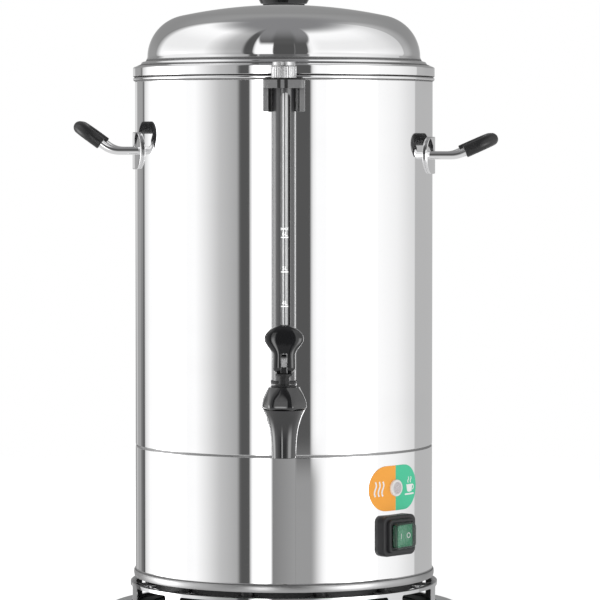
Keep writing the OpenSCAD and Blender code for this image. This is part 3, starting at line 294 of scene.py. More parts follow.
def grid_mesh(name, grids):
    """A mesh of the quads of some grids."""
    verts, faces, start = [], [], 0
    for grid in grids:
        rows, cols = grid.shape[:2]
        r, c = np.meshgrid(np.arange(rows - 1), np.arange(cols - 1), indexing="ij")
        k = start + r * cols + c
        verts.append(grid.reshape(-1, 3))
        faces.append(np.stack([k, k + 1, k + cols + 1, k + cols], -1).reshape(-1, 4))
        start += rows * cols
    mesh = bpy.data.meshes.new(name)
    mesh.from_pydata(np.concatenate(verts), [], np.concatenate(faces).tolist())
    return mesh


def finished(name, mesh, slot, body=BODY, stands_for=(), sharp=SHARP, finish_name=None):
    """Cleans a mesh, smooths it below the sharp angle, gives it its finish and puts it on its body."""
    bm = bmesh.new()
    bm.from_mesh(mesh)
    bmesh.ops.remove_doubles(bm, verts=bm.verts, dist=MERGE)
    bmesh.ops.dissolve_degenerate(bm, edges=bm.edges, dist=SLIVER)
    bmesh.ops.recalc_face_normals(bm, faces=bm.faces)
    bm.to_mesh(mesh)
    bm.free()
    mesh.shade_smooth()
    mesh.set_sharp_from_angle(angle=np.radians(sharp))
    made = bpy.data.objects.new(name, mesh)
    bpy.context.scene.collection.objects.link(made)
    mesh.materials.append(finish(finish_name or slot))
    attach(made, body)
    if stands_for:
        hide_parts(*stands_for)
    return made


def piece(name, grids, *looks, **settings):
    """One object from grids, with the same slot, body and further settings as a finished mesh."""
    return finished(name, grid_mesh(name, grids), *looks, **settings)


# Shader maths


class Value:
    """One output of a shader graph. Arithmetic on it adds Math nodes."""

    def __init__(self, graph, socket):
        self.graph = graph
        self.socket = socket

    def __add__(self, other):
        return self.graph.math("ADD", self, other)

    def __sub__(self, other):
        return self.graph.math("SUBTRACT", self, other)

    def __rsub__(self, other):
        return self.graph.math("SUBTRACT", other, self)

    def __mul__(self, other):
        return self.graph.math("MULTIPLY", self, other)

    def __truediv__(self, other):
        return self.graph.math("DIVIDE", self, other)

    def __pow__(self, other):
        return self.graph.math("POWER", self, other)

    def __abs__(self):
        return self.graph.math("ABSOLUTE", self)

    __radd__ = __add__
    __rmul__ = __mul__


class Graph:
    """A node tree that is written as expressions."""

    def __init__(self, tree):
        self.tree = tree
        tree.nodes.clear()

    def node(self, kind, settings=None, links=None, out=0):
        """Adds a node: its settings, then the value or link of each socket. Gives one of its outputs."""
        made = self.tree.nodes.new(kind)
        for key, value in (settings or {}).items():
            if key == "stops":
                ramp = made.color_ramp.elements
                while len(ramp) < len(value):
                    ramp.new(0.5)
                for element, (place, shade) in zip(ramp, value):
                    element.position = place
                    element.color = (*shade, 1)
            else:
                setattr(made, key, value)
        for key, value in (links or {}).items():
            socket = made.inputs[key]
            if isinstance(value, Value):
                self.tree.links.new(value.socket, socket)
            elif socket.type == "RGBA" and len(value) == 3:
                socket.default_value = (*value, 1)
            else:
                socket.default_value = value
        return Value(self, made.outputs[out])

    def math(self, operation, *terms):
        """The outcome of a Math node on some values."""
        return self.node("ShaderNodeMath", {"operation": operation}, dict(enumerate(terms)))

    def place(self):
        """Object coordinates, in metres."""
        return self.node("ShaderNodeTexCoord", out=3)

    def axes(self, vector=None):
        """The three numbers of a vector, or of the place if none is given."""
        made = self.node("ShaderNodeSeparateXYZ", links={0: vector or self.place()}).socket.node
        return [Value(self, socket) for socket in made.outputs]

    def height(self):
        """Height above the table."""
        return self.axes()[2]

    def radius(self):
        """Distance from the urn's upright axis."""
        x, y = self.axes()[:2]
        return (x * x + y * y) ** 0.5

    def ray(self, kind):
        """1 for the rays of a kind and 0 for all others."""
        path = self.node("ShaderNodeLightPath").socket.node
        return Value(self, path.outputs[f"Is {kind} Ray"])

    def most(self, first, *others):
        """The largest of some values."""
        for other in others:
            first = self.math("MAXIMUM", first, other)
        return first

    def noise(self, scale, detail=3.0, rough=0.5):
        """Soft noise from 0 to 1, of a number of blotches a metre, which may differ along the axes."""
        stretch = {"Vector": self.place(), "Scale": tuple(float(s) for s in np.broadcast_to(scale, 3))}
        place = self.node("ShaderNodeMapping", {"vector_type": "POINT"}, stretch)
        links = {"Vector": place, "Scale": 1.0, "Detail": detail, "Roughness": rough}
        return self.node("ShaderNodeTexNoise", links=links)

    def ease(self, value, low, high, start=0.0, end=1.0):
        """A smooth step from start to end while the value goes from low to high."""
        links = {0: value, 1: low, 2: high, 3: start, 4: end}
        return self.node("ShaderNodeMapRange", {"interpolation_type": "SMOOTHSTEP"}, links)

    def mix(self, factor, a, b):
        """A colour between a and b."""
        return self.node("ShaderNodeMix", {"data_type": "RGBA"}, {0: factor, 6: a, 7: b}, out=2)

    def bump(self, height, depth, strength=1.0):
        """A normal from a height of 0 to 1, which stands for a real depth in metres."""
        return self.node("ShaderNodeBump", links={"Height": height, "Distance": depth, "Strength": strength})

    def surface(self, **sockets):
        """A Principled surface, whose socket names have _ for a space, as the material's output."""
        named = {key.replace("_", " "): value for key, value in sockets.items()}
        self.output(self.node("ShaderNodeBsdfPrincipled", links=named))

    def output(self, shader, kind="Material"):
        """Gives a shader to the output of a material or a world."""
        made = self.tree.nodes.new("ShaderNodeOutput" + kind)
        self.tree.links.new(shader.socket, made.inputs["Surface"])


# Finishes


def grey(level):
    """A neutral colour, in linear light."""
    return (level, level, level)


def tone(name, times=1.0):
    """One of the urn's colours, made darker or lighter."""
    return tuple(c * times for c in getattr(bpy.context.scene.urn_colours, name))


def grained(g, scale, dark, light, rough, spread, depth=0.0, detail=3.0, harsh=0.5, **more):
    """A surface whose look follows one noise: from a dark to a light colour, from a roughness up by a spread,
    and with a relief of a depth in millimetres."""
    grain = g.noise(scale, detail, harsh)
    if depth:
        more["Normal"] = g.bump(grain, depth * MM)
    g.surface(Base_Color=g.mix(grain, dark, light), Roughness=rough + grain * spread, **more)


def polished_steel(g, creases=(), dull=0.0, dark=0.0):
    """Mirror steel: nearly no roughness, a little more in wiped streaks, a very faint roll of the sheet, and
    a rough dark line of painted shade in each crease, given by its height and half width. It can be dull,
    or dark by painted shade, in places."""
    z = g.height()
    wiped = g.ease(g.noise((9, 9, 34), 4), 0.45, 0.75)
    roll = g.bump(g.noise((5, 5, 1.2), 1), 0.02 * MM)
    shade = g.mix(dark, g.mix(wiped, tone("steel"), tone("steel", 0.985)), tone("steel", 0.5))
    # The dark line in each crease is painted shade; the crease is also rougher
    for height, half in creases:
        near = g.ease(abs(z - float(height)), half * MM, 0.3 * half * MM)
        shade = g.mix(near * 0.9, shade, tone("steel", 0.17))
        dull = near * 0.5 + dull
    g.surface(Base_Color=shade, Metallic=1.0, Roughness=0.028 + wiped * 0.02 + dull, Normal=roll)


def tank_steel(g):
    """Mirror steel with painted shade in the creases above and below the rolled bead."""
    rim = top_of("tank_shell")
    polished_steel(g, [(rim, 0.5), (rim - 2 * sizes().bead, 0.9)])


def housing_steel(g):
    """Mirror steel with painted shade in the crease above the bottom lip, and a lip that painted shade makes
    darker, with fine dull lines.
    """
    crease = foot_of("lower_housing") + sizes().lip_h - LIP_CREASE * MM
    lip = g.ease(g.height(), crease + 0.2 * MM, crease - 0.2 * MM)
    lines = g.noise((40, 40, 5000))
    # The lip's darker steel is painted shade; its fine dull lines are real roughness
    polished_steel(g, [(crease, 0.7)], lip * (0.22 + lines * 0.12), lip)


def lid_steel(g):
    """Mirror steel with painted shade in the creases under the lip, on the shoulder and at the dome's foot,
    duller on top.
    """
    rim = top_of("tank_shell") + sizes().lid_gap
    shoulder, rise = rim + LID_LIP_H * MM, LID_SHOULDER_H * MM
    folds = [(rim, 0.6), (shoulder + 0.35 * rise, 0.9), (shoulder + 1.1 * rise, 1.1)]
    polished_steel(g, folds, g.ease(g.radius(), 40 * MM, 24 * MM) * 0.06)


def seam_steel(g):
    """Dull steel in the seam between housing and tank, with fine lines round the urn. Its dark tone is
    painted shade of the gap.
    """
    grained(g, (40, 40, 6000), tone("steel", 0.24), tone("steel", 0.34), 0.42, 0.1, 0.01, Metallic=1.0)


def ring_steel(g):
    """Base ring: mirror steel outside, dull black inside as painted shade, and satin tabs along its top."""
    outer, top = radius_of("base_ring"), top_of("base_ring")
    within = g.ease(g.radius(), outer - 0.15 * MM, outer - 0.4 * MM)
    shelf = g.ease(g.height(), top - 1.5 * MM, top - 1.2 * MM)
    # Dull black inside the ring, below its tabs, is painted shade
    painted, satin = within * (1.0 - shelf), within * shelf
    g.surface(
        Base_Color=g.mix(painted, tone("steel", 0.75), tone("black", 1.2)),
        Metallic=1.0 - painted,
        Roughness=0.03 + painted * 0.6 + satin * 0.3 + g.noise(300) * satin * 0.2,
    )


def satin_steel(g, painted=0.0):
    """Satin sheet steel: fine grinding lines round the urn, as bands of roughness and of height. It can be
    darkened to a dull black in places, as painted shade."""
    lines = g.noise((60, 60, 3800), 4, 0.7)
    cloud = g.noise(24)
    steel = g.mix(cloud, tone("steel", 0.74), tone("steel", 0.84))
    # Where painted is 1 the steel turns dull black: painted shade
    g.surface(
        Base_Color=g.mix(painted, steel, tone("black", 1.2)),
        Metallic=1.0 - painted,
        Roughness=0.2 + lines * 0.16 + cloud * 0.06 + painted * 0.35,
        Normal=g.bump(lines, 0.012 * MM),
    )


def plate_steel(g):
    """Foot plate: satin steel outside the base ring, and dull black inside it as painted shade."""
    ring = radius_of("base_ring") - 1 * MM
    satin_steel(g, g.ease(g.radius(), ring, ring - 0.4 * MM))


def dipped_stem(g):
    """Bright stem, black below a height just under the pin."""
    dip = float(middle("lever_pin")[2]) - STEM_BLACK_DROP * MM
    below = g.ease(g.height(), dip + 0.1 * MM, dip - 0.1 * MM)
    lines = g.noise((200, 200, 2600))
    g.surface(
        Base_Color=g.mix(below, tone("steel", 0.75), tone("black")),
        Metallic=1.0 - below,
        Roughness=0.2 + lines * 0.15,
        Normal=g.bump(lines, 0.01 * MM),
    )


def fastener_steel(g):
    """Zinc-plated screws: a mottled, slightly blue-grey bright metal."""
    grained(g, 700, (0.5, 0.51, 0.53), grey(0.68), 0.24, 0.2, 0.02, detail=4, Metallic=1.0)


def knurled_steel(g):
    """Bright plated cap, a little dull, with fine pits."""
    grained(g, 1500, tone("steel", 0.5), tone("steel", 0.62), 0.3, 0.12, 0.02, Metallic=1.0)


def black_gloss(g, coat=0.3, matt=0.0):
    """Glossy black moulding: slow flow ripples and a few dull patches under a clear skin. It can be matt in
    places."""
    dull = g.ease(g.noise(160, 4), 0.5, 0.8)
    g.surface(
        Base_Color=g.mix(dull, tone("black"), tone("black", 1.5)),
        Roughness=0.08 + dull * 0.08 + matt * 0.5,
        Normal=g.bump(g.noise((70, 70, 30), 2), 0.04 * MM),
        Coat_Weight=coat * (1.0 - matt),
        Coat_Roughness=0.05,
    )


def tap_gloss(g):
    """The same moulding under a thicker skin, turning matt on the neck above the bonnet's six sides."""
    top = foot_of("tap_bonnet") + BONNET_H * MM
    black_gloss(g, 0.9, g.ease(g.height(), top, top + 0.5 * MM))


def black_lacquer(g):
    """Lacquered dark moulding: greyer than the gloss, with long faint pull lines under a clear skin."""
    skin = {"Coat_Weight": 0.6, "Coat_Roughness": 0.08}
    grained(g, (900, 900, 12), (0.05, 0.05, 0.052), (0.085, 0.085, 0.087), 0.2, 0.12, 0.005, **skin)


def bracket_lacquer(g):
    """Lacquered bracket: greyer than the guard, with a soft shine and a faint grain. Painted shade makes it
    black on its inner sides, along its top edge and in two marks on its front."""
    x, y, z = g.axes()
    low, high = span("gauge_bracket")
    front, top = float(low[1]), float(high[2]) - SPIGOT_H * MM
    under = top_of("gauge_guard")
    gap = (GUARD_R + EAR_GAP) * MM
    grain = g.noise(700)
    below = g.ease(z, under, under - 0.1 * MM)
    # Painted shade: black on the ears' inner sides, in two marks on the front and along the top edge
    inner = g.ease(abs(x), gap + 0.3 * MM, gap + 0.1 * MM) * below
    marks = g.ease(abs(abs(x + 1 * MM) - 2.6 * MM), 1.4 * MM, 1.1 * MM)
    marks = marks * g.ease(y, front + 0.6 * MM, front + 0.4 * MM)
    edge = g.ease(z, top - 1.0 * MM, top - 0.7 * MM)
    black = g.most(inner, edge, marks * (1.0 - below))
    body = g.mix(grain, (0.17, 0.17, 0.172), (0.23, 0.23, 0.232))
    g.surface(
        Base_Color=g.mix(black, body, grey(0.012)),
        Roughness=0.26 + grain * 0.1 + black * 0.4,
        Normal=g.bump(grain, 0.015 * MM),
        Coat_Weight=0.2,
    )


def black_matte(g):
    """Matt black moulding with a fine spark-eroded grain."""
    grain = g.bump(g.noise(2600, 2, 0.6), 0.02 * MM, 0.6)
    grained(g, 90, tone("black", 1.3), tone("black", 2.0), 0.42, 0.14, detail=2, Normal=grain)


def grip_black(g):
    """Dipped sleeve: dull black with a soft shine, slow waves along it and a few scuffs."""
    waves = g.noise(220)
    scuffs = g.ease(g.noise((600, 90, 600), 5, 0.7), 0.6, 0.8)
    g.surface(
        Base_Color=g.mix(scuffs, tone("rubber"), tone("rubber", 2.2)),
        Roughness=0.3 + scuffs * 0.2 + waves * 0.08,
        Normal=g.bump(waves, 0.08 * MM),
    )


def foot_rubber(g):
    """Rubber foot: dull charcoal with a fine moulded grain."""
    grained(g, 1500, tone("rubber", 1.4), tone("rubber", 2.4), 0.62, 0.2, 0.04, harsh=0.7)


def seal_silicone(g):
    """Milky silicone with a soft bloom."""
    milk = {"Subsurface_Weight": 0.2, "Subsurface_Radius": grey(0.004)}
    grained(g, 240, (0.7, 0.69, 0.66), (0.8, 0.79, 0.77), 0.4, 0.15, **milk)


def white_nylon(g):
    """Off-white moulded nylon with a faint grain."""
    grain = g.noise(1300)
    g.surface(
        Base_Color=g.mix(g.noise(60, 2), (0.72, 0.7, 0.64), (0.83, 0.82, 0.78)),
        Roughness=0.45 + grain * 0.15,
        Normal=g.bump(grain, 0.02 * MM),
    )


def heater_alloy(g):
    """Cast aluminium with a sandy skin."""
    sand = {"detail": 4, "harsh": 0.7}
    grained(g, 900, (0.42, 0.42, 0.43), (0.62, 0.62, 0.63), 0.42, 0.2, 0.08, **sand, Metallic=1.0)


def lead_red(g):
    """Braided heat-proof sleeve on the leads: a fine crossing weave in dark red."""
    grained(g, (2400, 2400, 1200), (0.28, 0.025, 0.02), (0.5, 0.07, 0.05), 0.6, 0.2, 0.06, detail=2)


def brass(g):
    """Turned brass with fine tool lines and a little tarnish."""
    lines = g.noise(1900)
    tarnish = g.ease(g.noise(130, 4), 0.45, 0.8)
    g.surface(
        Base_Color=g.mix(tarnish, (0.78, 0.57, 0.26), (0.5, 0.33, 0.14)),
        Metallic=1.0,
        Roughness=0.2 + tarnish * 0.2 + lines * 0.06,
        Normal=g.bump(lines, 0.01 * MM),
    )


def gauge_glass(g):
    """Drawn glass, a little milky, with long faint draw lines and a dark line down its front. Its dark edges
    are painted shadow of the guard's slot, and the light that it gives off is painted light.
    """
    x = g.axes()[0]
    drawn = g.noise((700, 700, 3), 2)
    # Dark edges: painted shadow of the guard's slot
    left, right = g.ease(x, -0.9 * MM, -1.3 * MM) * 0.55, g.ease(x, 2.8 * MM, 3.2 * MM)
    line = g.most(g.ease(abs(x - 0.6 * MM), 0.45 * MM, 0.2 * MM), right, left)
    pale = g.mix(drawn, (0.86, 0.87, 0.87), (0.97, 0.975, 0.975))
    g.surface(
        Base_Color=g.mix(line * 0.95, pale, (0.03, 0.03, 0.032)),
        Roughness=0.02 + drawn * 0.03,
        Transmission_Weight=0.6,
        IOR=1.47,
        # The glass gives off a faint light of its own: painted light
        Emission_Color=g.mix(line, grey(0.9), grey(0.0)),
        Emission_Strength=0.16,
    )


def printed_white(g, glow=0.0):
    """White print, a little uneven, which may give off some painted light."""
    screen = g.noise(1800, 2)
    white = g.mix(screen, tone("white", 0.93), tone("white"))
    # Light that the print gives off is painted light
    light = {"Emission_Color": white, "Emission_Strength": glow} if glow else {}
    g.surface(Base_Color=white, Roughness=0.4 + screen * 0.1, **light)


def gauge_print(g):
    """White print on the glass that gives off painted light, standing in for light from behind."""
    printed_white(g, 0.9)


def rocker_green(g):
    """Translucent green rocker: glossy, slightly cloudy inside."""
    grained(g, 420, tone("rocker"), tone("rocker", 1.5), 0.22, 0.1, Coat_Weight=0.4)


def panel_axes(g):
    """Distance along the wall from the switch panel's middle, and outward from the urn's axis."""
    x, y = g.axes()[:2]
    s, c = float(np.sin(PANEL)), float(np.cos(PANEL))
    return x * c + y * s, x * s - y * c


def boot_clear(g):
    """Soft clear boot: nearly opaque at its sides, where its dark colour is painted shade, and clearer on its
    face, with a rubbery shine.
    """
    cloud = g.noise(300)
    face = float(wall_r()) + (BOOT_OUT - 1.4) * MM
    front = g.ease(panel_axes(g)[1], face, face + 1.2 * MM)
    g.surface(
        # The dark colour at the sides is painted shade
        Base_Color=g.mix(front, (0.035, 0.05, 0.042), (0.16, 0.24, 0.2)),
        Roughness=0.14 + cloud * 0.12,
        Alpha=0.72 - front * 0.6 + cloud * 0.06,
        Normal=g.bump(cloud, 0.06 * MM),
    )


def legend_print(g):
    """Printed film with a fine screen: orange to the left of the lamp's middle and green to its right."""
    screen = g.noise(2400, 2)
    side = g.ease(panel_axes(g)[0], -0.1 * MM, 0.1 * MM)
    left = g.mix(screen, tone("orange", 0.95), tone("orange"))
    right = g.mix(screen, tone("green", 0.94), tone("green"))
    g.surface(Base_Color=g.mix(side, left, right), Roughness=0.5 + screen * 0.1, Specular_IOR_Level=0.2)


def lens_clear(g):
    """Frosted lamp lens: pale grey with rings of facets round its middle."""
    across = panel_axes(g)[0]
    up = g.height() - float(middle("indicator_lens")[2])
    radius = (across * across + up * up) ** 0.5
    rings = g.math("SINE", radius * 5200.0) * 0.5 + 0.5
    spots = g.noise(700)
    rim = g.ease(radius, 4.2 * MM, 4.8 * MM)
    inside = g.mix(spots * 0.7 + rings * 0.3, (0.3, 0.28, 0.3), (0.86, 0.8, 0.8))
    g.surface(
        Base_Color=g.mix(rim, inside, (0.86, 0.85, 0.83)),
        Roughness=0.12 + spots * 0.1,
        Normal=g.bump(rings, 0.25 * MM),
        Coat_Weight=0.5,
    )


FINISHES = {
    make.__name__: make
    for make in (
        polished_steel, tank_steel, housing_steel, lid_steel, seam_steel, ring_steel, satin_steel,
        plate_steel, dipped_stem, fastener_steel, knurled_steel, black_gloss, tap_gloss, black_lacquer,
        bracket_lacquer, black_matte, grip_black, foot_rubber, seal_silicone, white_nylon, heater_alloy,
        lead_red, brass, gauge_glass, gauge_print, printed_white, rocker_green, boot_clear, legend_print,
        lens_clear,
    )
}


def material(name, make):
    """A material whose nodes a function of its graph makes."""
    made = bpy.data.materials.new(name)
    made.use_nodes = True
    make(Graph(made.node_tree))
    return made


def finish(name):
    """The named finish, made the first time that it is asked for."""
    full = "finish_" + name
    return bpy.data.materials.get(full) or material(full, FINISHES[name])


# Places that several pieces share

TAP = np.array([0.0, middle("lever_pin")[1], 0.0])
GAUGE = np.array([0.0, middle("gauge_tube")[1], 0.0])
PANEL_AT = middle("indicator_lamp")
PANEL = float(np.arctan2(PANEL_AT[0], -PANEL_AT[1]))
LIP_R = radius_of("tank_shell")


def sizes():
    """The sizes that a user may change."""
    return bpy.context.scene.urn_sizes


def wall_r():
    """Outer radius of the tank and the housing."""
    return LIP_R - sizes().lip_out


# Tank, housing and lid, in millimetres

# Lip of the housing: how far its foot is tucked in, the power of its upper half, and how deep its crease lies
LIP_TUCK = 0.5
LIP_POWER = 2.6
LIP_CREASE = 0.9
# Dark band of painted shade in the seam: how far it lies behind the wall, and its thickness
SEAM_IN = 0.3
SEAM_T = 0.6
# Section of the lid: lip, shoulder, upright wall, rounded edge, crown, sheet and the hole for the screw
LID_LIP_H = 7.0
LID_SHOULDER_H = 4.9
LID_STEP_IN = 5.8
LID_LEDGE_IN = 6.6
LID_WALL_IN = 9.4
LID_WALL_H = 3.0
LID_CORNER = 32.0
LID_CROWN = 370.0
LID_SHEET = 0.9
LID_HOLE = 2.2
LID_EDGE = 0.7
# Hole in the knob's foot
KNOB_HOLE = 2.1
KNOB_HOLE_H = 15.0
# Foot of the knob as a share of its radius, its widest place as a share of its height, and its crown's powers
KNOB_FOOT = 0.832
KNOB_WAIST = 0.38
KNOB_POWERS = (0.7, 0.9)


def tank_profile(s):
    """Section of the tank: spigot, outer wall, rolled bead and inner wall."""
    low, high = span("tank_shell")
    wall, inside = wall_r(), wall_r() - s.sheet
    spigot = inside - 0.1 * MM
    seam = top_of("lower_housing") + s.seam_gap
    bead = (LIP_R - s.bead, high[2] - s.bead)
    outer, inner = [np.degrees(np.arccos((r - bead[0]) / s.bead)) for r in (wall, inside)]
    rolled = arc(bead, s.bead, -outer, 360 - inner, 28)
    foot = [(spigot - s.sheet, low[2]), (spigot, low[2]), (spigot, seam), (wall, seam), rolled[0]]
    back = [(inside, seam + s.sheet), (spigot - s.sheet, seam), (spigot - s.sheet, low[2])]
    return np.concatenate([eased(foot, SHEET_EDGE), rolled[1:], back])


def housing_profile(s):
    """Section of the housing: a lip that bulges by a square below its middle and runs back to the wall by a
    higher power above it, the crease, the outer wall, the curled top edge and the inner wall."""
    low, high = span("lower_housing")
    wall, inside = wall_r(), wall_r() - s.sheet
    crease = low[2] + s.lip_h
    t = np.linspace(-1, 1, 25)
    back = np.where(t < 0, LIP_TUCK * MM * t**2, s.lip_out * np.abs(t) ** LIP_POWER)
    lip = np.column_stack([LIP_R - back, low[2] + s.lip_h * (t + 1) / 2])
    top = eased([(wall, crease), (wall, high[2]), (inside, high[2]), (inside, crease)], SHEET_EDGE)
    foot = LIP_R - 2 * s.sheet
    return np.concatenate([lip, top[1:], [(foot, crease - 2 * MM), (foot, low[2]), lip[0]]])


def lid_profile(s):
    """Section of the lid: skirt, lip, stepped shoulder, wall, rounded edge, crown, and the same inside."""
    low = span("lid_shell")[0]
    rim = top_of("tank_shell") + s.lid_gap
    skirt = LIP_R - 2 * s.bead - 0.5 * MM
    wall = wall_r() - LID_WALL_IN * MM
    top_lip = rim + LID_LIP_H * MM
    shoulder = LID_SHOULDER_H * MM
    step = np.array([LIP_R - LID_STEP_IN * MM, top_lip + 0.49 * shoulder])
    ledge = np.array([LIP_R - LID_LEDGE_IN * MM, top_lip + 0.84 * shoulder])
    neck = np.array([wall + 1.2 * MM, top_lip + shoulder])
    dome_z = neck[1] + LID_WALL_H * MM
    corner, crown, sheet = LID_CORNER * MM, LID_CROWN * MM, LID_SHEET * MM
    inset = wall - corner
    lean = np.degrees(np.arcsin(inset / (crown - corner)))
    crown_z = dome_z - np.sqrt((crown - corner) ** 2 - inset**2)
    hole = 90 - np.degrees(LID_HOLE * MM / crown)
    rim_part = [
        (skirt, low[2]), (skirt, rim), (LIP_R, rim), (LIP_R, top_lip), step, ledge, neck, (wall, dome_z),
    ]
    return np.concatenate([
        supported(eased(rim_part, LID_EDGE * MM)),
        arc((inset, dome_z), corner, 0, 90 - lean, 26)[1:],
        arc((0, crown_z), crown, 90 - lean, hole, 22)[1:],
        arc((0, crown_z), crown - sheet, hole, 90 - lean, 12),
        arc((inset, dome_z), corner - sheet, 90 - lean, 0, 16)[1:],
        [neck - 0.7 * sheet, ledge - 0.7 * sheet, step - 0.7 * sheet],
        [(skirt - sheet, top_lip - sheet), (skirt - sheet, low[2]), (skirt, low[2])],
    ])


def knob_profile():
    """Section of the knob: the screw's hole, a foot that swells by a sine to its widest, and a crown that
    closes at the top by powers of a cosine and a sine."""
    low, high = span("lid_knob")
    wide, tall = high[0], high[2] - low[2]
    foot, waist = wide * KNOB_FOOT, tall * KNOB_WAIST
    t = np.linspace(0, 1, 24)
    lower = np.column_stack([foot + (wide - foot) * np.sin(t * np.pi / 2), low[2] + waist * t])
    a = t[1:] * np.pi / 2
    across, up = np.cos(a) ** KNOB_POWERS[0], np.sin(a) ** KNOB_POWERS[1]
    upper = np.column_stack([wide * across, low[2] + waist + (tall - waist) * up])
    upper[-1, 0] = 0
    hole, deep = KNOB_HOLE * MM, low[2] + KNOB_HOLE_H * MM
    under = [(0, deep), (hole, deep), (hole, low[2]), (foot - 0.8 * MM, low[2])]
    return np.concatenate([under, lower[1:], upper])


class URN_OT_tank(bpy.types.Operator):
    """Mirror-polished tank with its rolled rim, and a dark band of painted shade in the seam below it"""

    bl_idname = "urn.tank"
    bl_label = "Tank"

    def execute(self, context):
        shell = [lathe(supported(tank_profile(sizes())), turns=FINE)]
        piece("tank", shell, "polished_steel", stands_for=["tank_shell"], finish_name="tank_steel")
        # A dark band in the seam's gap stands for the gap's shade: painted shade
        low = top_of("lower_housing")
        r = wall_r() - SEAM_IN * MM
        band = hoop(r - SEAM_T * MM, r, low, low + sizes().seam_gap)
        piece("seam_band", [lathe(band, turns=FINE)], "satin_steel", finish_name="seam_steel")
        return {"FINISHED"}


class URN_OT_housing(bpy.types.Operator):
    """Mirror-polished heater housing below the seam"""

    bl_idname = "urn.housing"
    bl_label = "Housing"

    def execute(self, context):
        shell = [lathe(supported(housing_profile(sizes())), turns=FINE)]
        piece("housing", shell, "polished_steel", stands_for=["lower_housing"], finish_name="housing_steel")
        return {"FINISHED"}


class URN_OT_lid(bpy.types.Operator):
    """Domed lid and its black knob, which mirrors don't show"""

    bl_idname = "urn.lid"
    bl_label = "Lid"

    def execute(self, context):
        lid = lathe(lid_profile(sizes()), turns=FINE)
        piece("lid", [lid], "polished_steel", "lid", ["lid_shell"], finish_name="lid_steel")
        knob = piece("knob", [lathe(knob_profile())], "black_gloss", "lid", ["lid_knob"])
        for hidden in (knob, frame["nodes"]["knob_screw"], frame["nodes"]["knob_washer"]):
            hidden.visible_glossy = False
        return {"FINISHED"}


# Base, in millimetres

PLATE_ROUND = 3.0
PLATE_SHEET = 1.2
RING_SHEET = 1.0
RING_FOOT = 13.0
RING_SHELF = 4.0
WINDOWS = 12
WINDOW_W = 46.0
WINDOW_H = 14.0
WINDOW_R = 2.0
TAB_W = 16.0
TAB_END_R = 98.0
# Dark ring of painted shade behind the gap under the housing: how far it lies behind the lip, and reaches
# below and above
SHADE_RING_IN = 12.0
SHADE_RING_BELOW = 3.0
SHADE_RING_ABOVE = 2.0


def foot_plate_profile():
    """Section of the foot plate: flat top, rounded edge and turned-down rim, in sheet of even thickness."""
    low, high = span("base_plate")
    r, corner, sheet = high[0], PLATE_ROUND * MM, PLATE_SHEET * MM
    centre = (r - corner, high[2] - corner)
    edge, inner = arc(centre, corner, 90, 0, 10), arc(centre, corner - sheet, 0, 90, 10)
    top, under = [(0, high[2])], [(0, high[2] - sheet)]
    return np.concatenate([top, edge, [(r, low[2]), (r - sheet, low[2])], inner, under])


def ring_cell(outer, inner, low, high):
    """One bay of the base ring round its window: from the bay's border on the inside, over the window's edge,
    and back to the border on the outside. A border point is its window point, pushed out and held in the
    bay."""
    half = np.array([np.pi / WINDOWS * outer, (high - low) / 2])
    window = rounded_rect(WINDOW_W * MM, WINDOW_H * MM, WINDOW_R * MM, 6)
    part = window / (np.array([WINDOW_W, WINDOW_H]) * MM / 2)
    border = np.clip(1.3 * part, -1, 1) * half - (0, 0.5 * MM)
    within, across = inner - outer, 0.5 * (border + window)
    rows = [(border, within), (across, within), (window, within), (window, 0)]
    return stacked(rows + [(0.9 * window + 0.1 * border, 0), (border, 0)])


def base_ring_grids():
    """The windowed ring: its bays turned round the axis, its foot and top flanges, and its tabs."""
    low, high = span("base_ring")
    outer, sheet = high[0], RING_SHEET * MM
    cell = ring_cell(outer, outer - sheet, low[2], high[2])
    z = (low[2] + high[2]) / 2 + 0.5 * MM
    foot = hoop(outer - RING_FOOT * MM, outer - 0.5 * MM, low[2], low[2] + sheet)
    top = hoop(outer - RING_SHELF * MM, outer, high[2] - sheet, high[2])
    reach = outer - 2 * MM - TAB_END_R * MM
    tab = plate(TAB_W * MM, reach, 2 * MM, 0, sheet, 0.2 * MM)[..., [0, 2, 1]]
    turn = 2 * np.pi / WINDOWS
    bays = [on_wall(cell, turn * k, z, outer, True) for k in range(WINDOWS)]
    middles = TAB_END_R * MM + reach / 2
    tabs = [on_wall(tab, turn * (k + 0.5), high[2] - sheet, middles, False) for k in range(WINDOWS)]
    return bays + [lathe(foot, turns=FINE), lathe(top, turns=FINE)] + tabs


class URN_OT_base(bpy.types.Operator):
    """Foot plate, the windowed ring that carries the housing, and a dark ring of painted shade behind the gap
    between them
    """

    bl_idname = "urn.base"
    bl_label = "Base"

    def execute(self, context):
        foot = [lathe(supported(foot_plate_profile()), turns=FINE)]
        piece("foot_plate", foot, "satin_steel", stands_for=["base_plate"], finish_name="plate_steel")
        ring = base_ring_grids()
        piece("windowed_ring", ring, "polished_steel", stands_for=["base_ring"], finish_name="ring_steel")
        # A matt black ring behind the gap stands for the shade there: painted shade
        under = top_of("base_ring") - SHADE_RING_BELOW * MM
        over = foot_of("lower_housing") + SHADE_RING_ABOVE * MM
        r = LIP_R - SHADE_RING_IN * MM
        piece("heat_shield", [lathe(hoop(r - 1 * MM, r, under, over))], "black_matte")
        return {"FINISHED"}


# Handles, in millimetres and degrees

LEG_Y = 33.0
BEND_OUT = 16.8
BEND_R = 20.0
BEND_ANGLES = {"left": 36.0, "right": 24.0}
SLOPE_LEN = 29.9
HANDLE_CORNER = 14.0
GRIP_LEAD = 2.7
GRIP_EDGE = 0.7
SADDLE_W = 84.0
SADDLE_H = 28.0
SADDLE_T = 2.0
SADDLE_CORNER = 13.0
# How far a rod's end and a saddle stay clear of the wall
WALL_CLEAR = 0.05


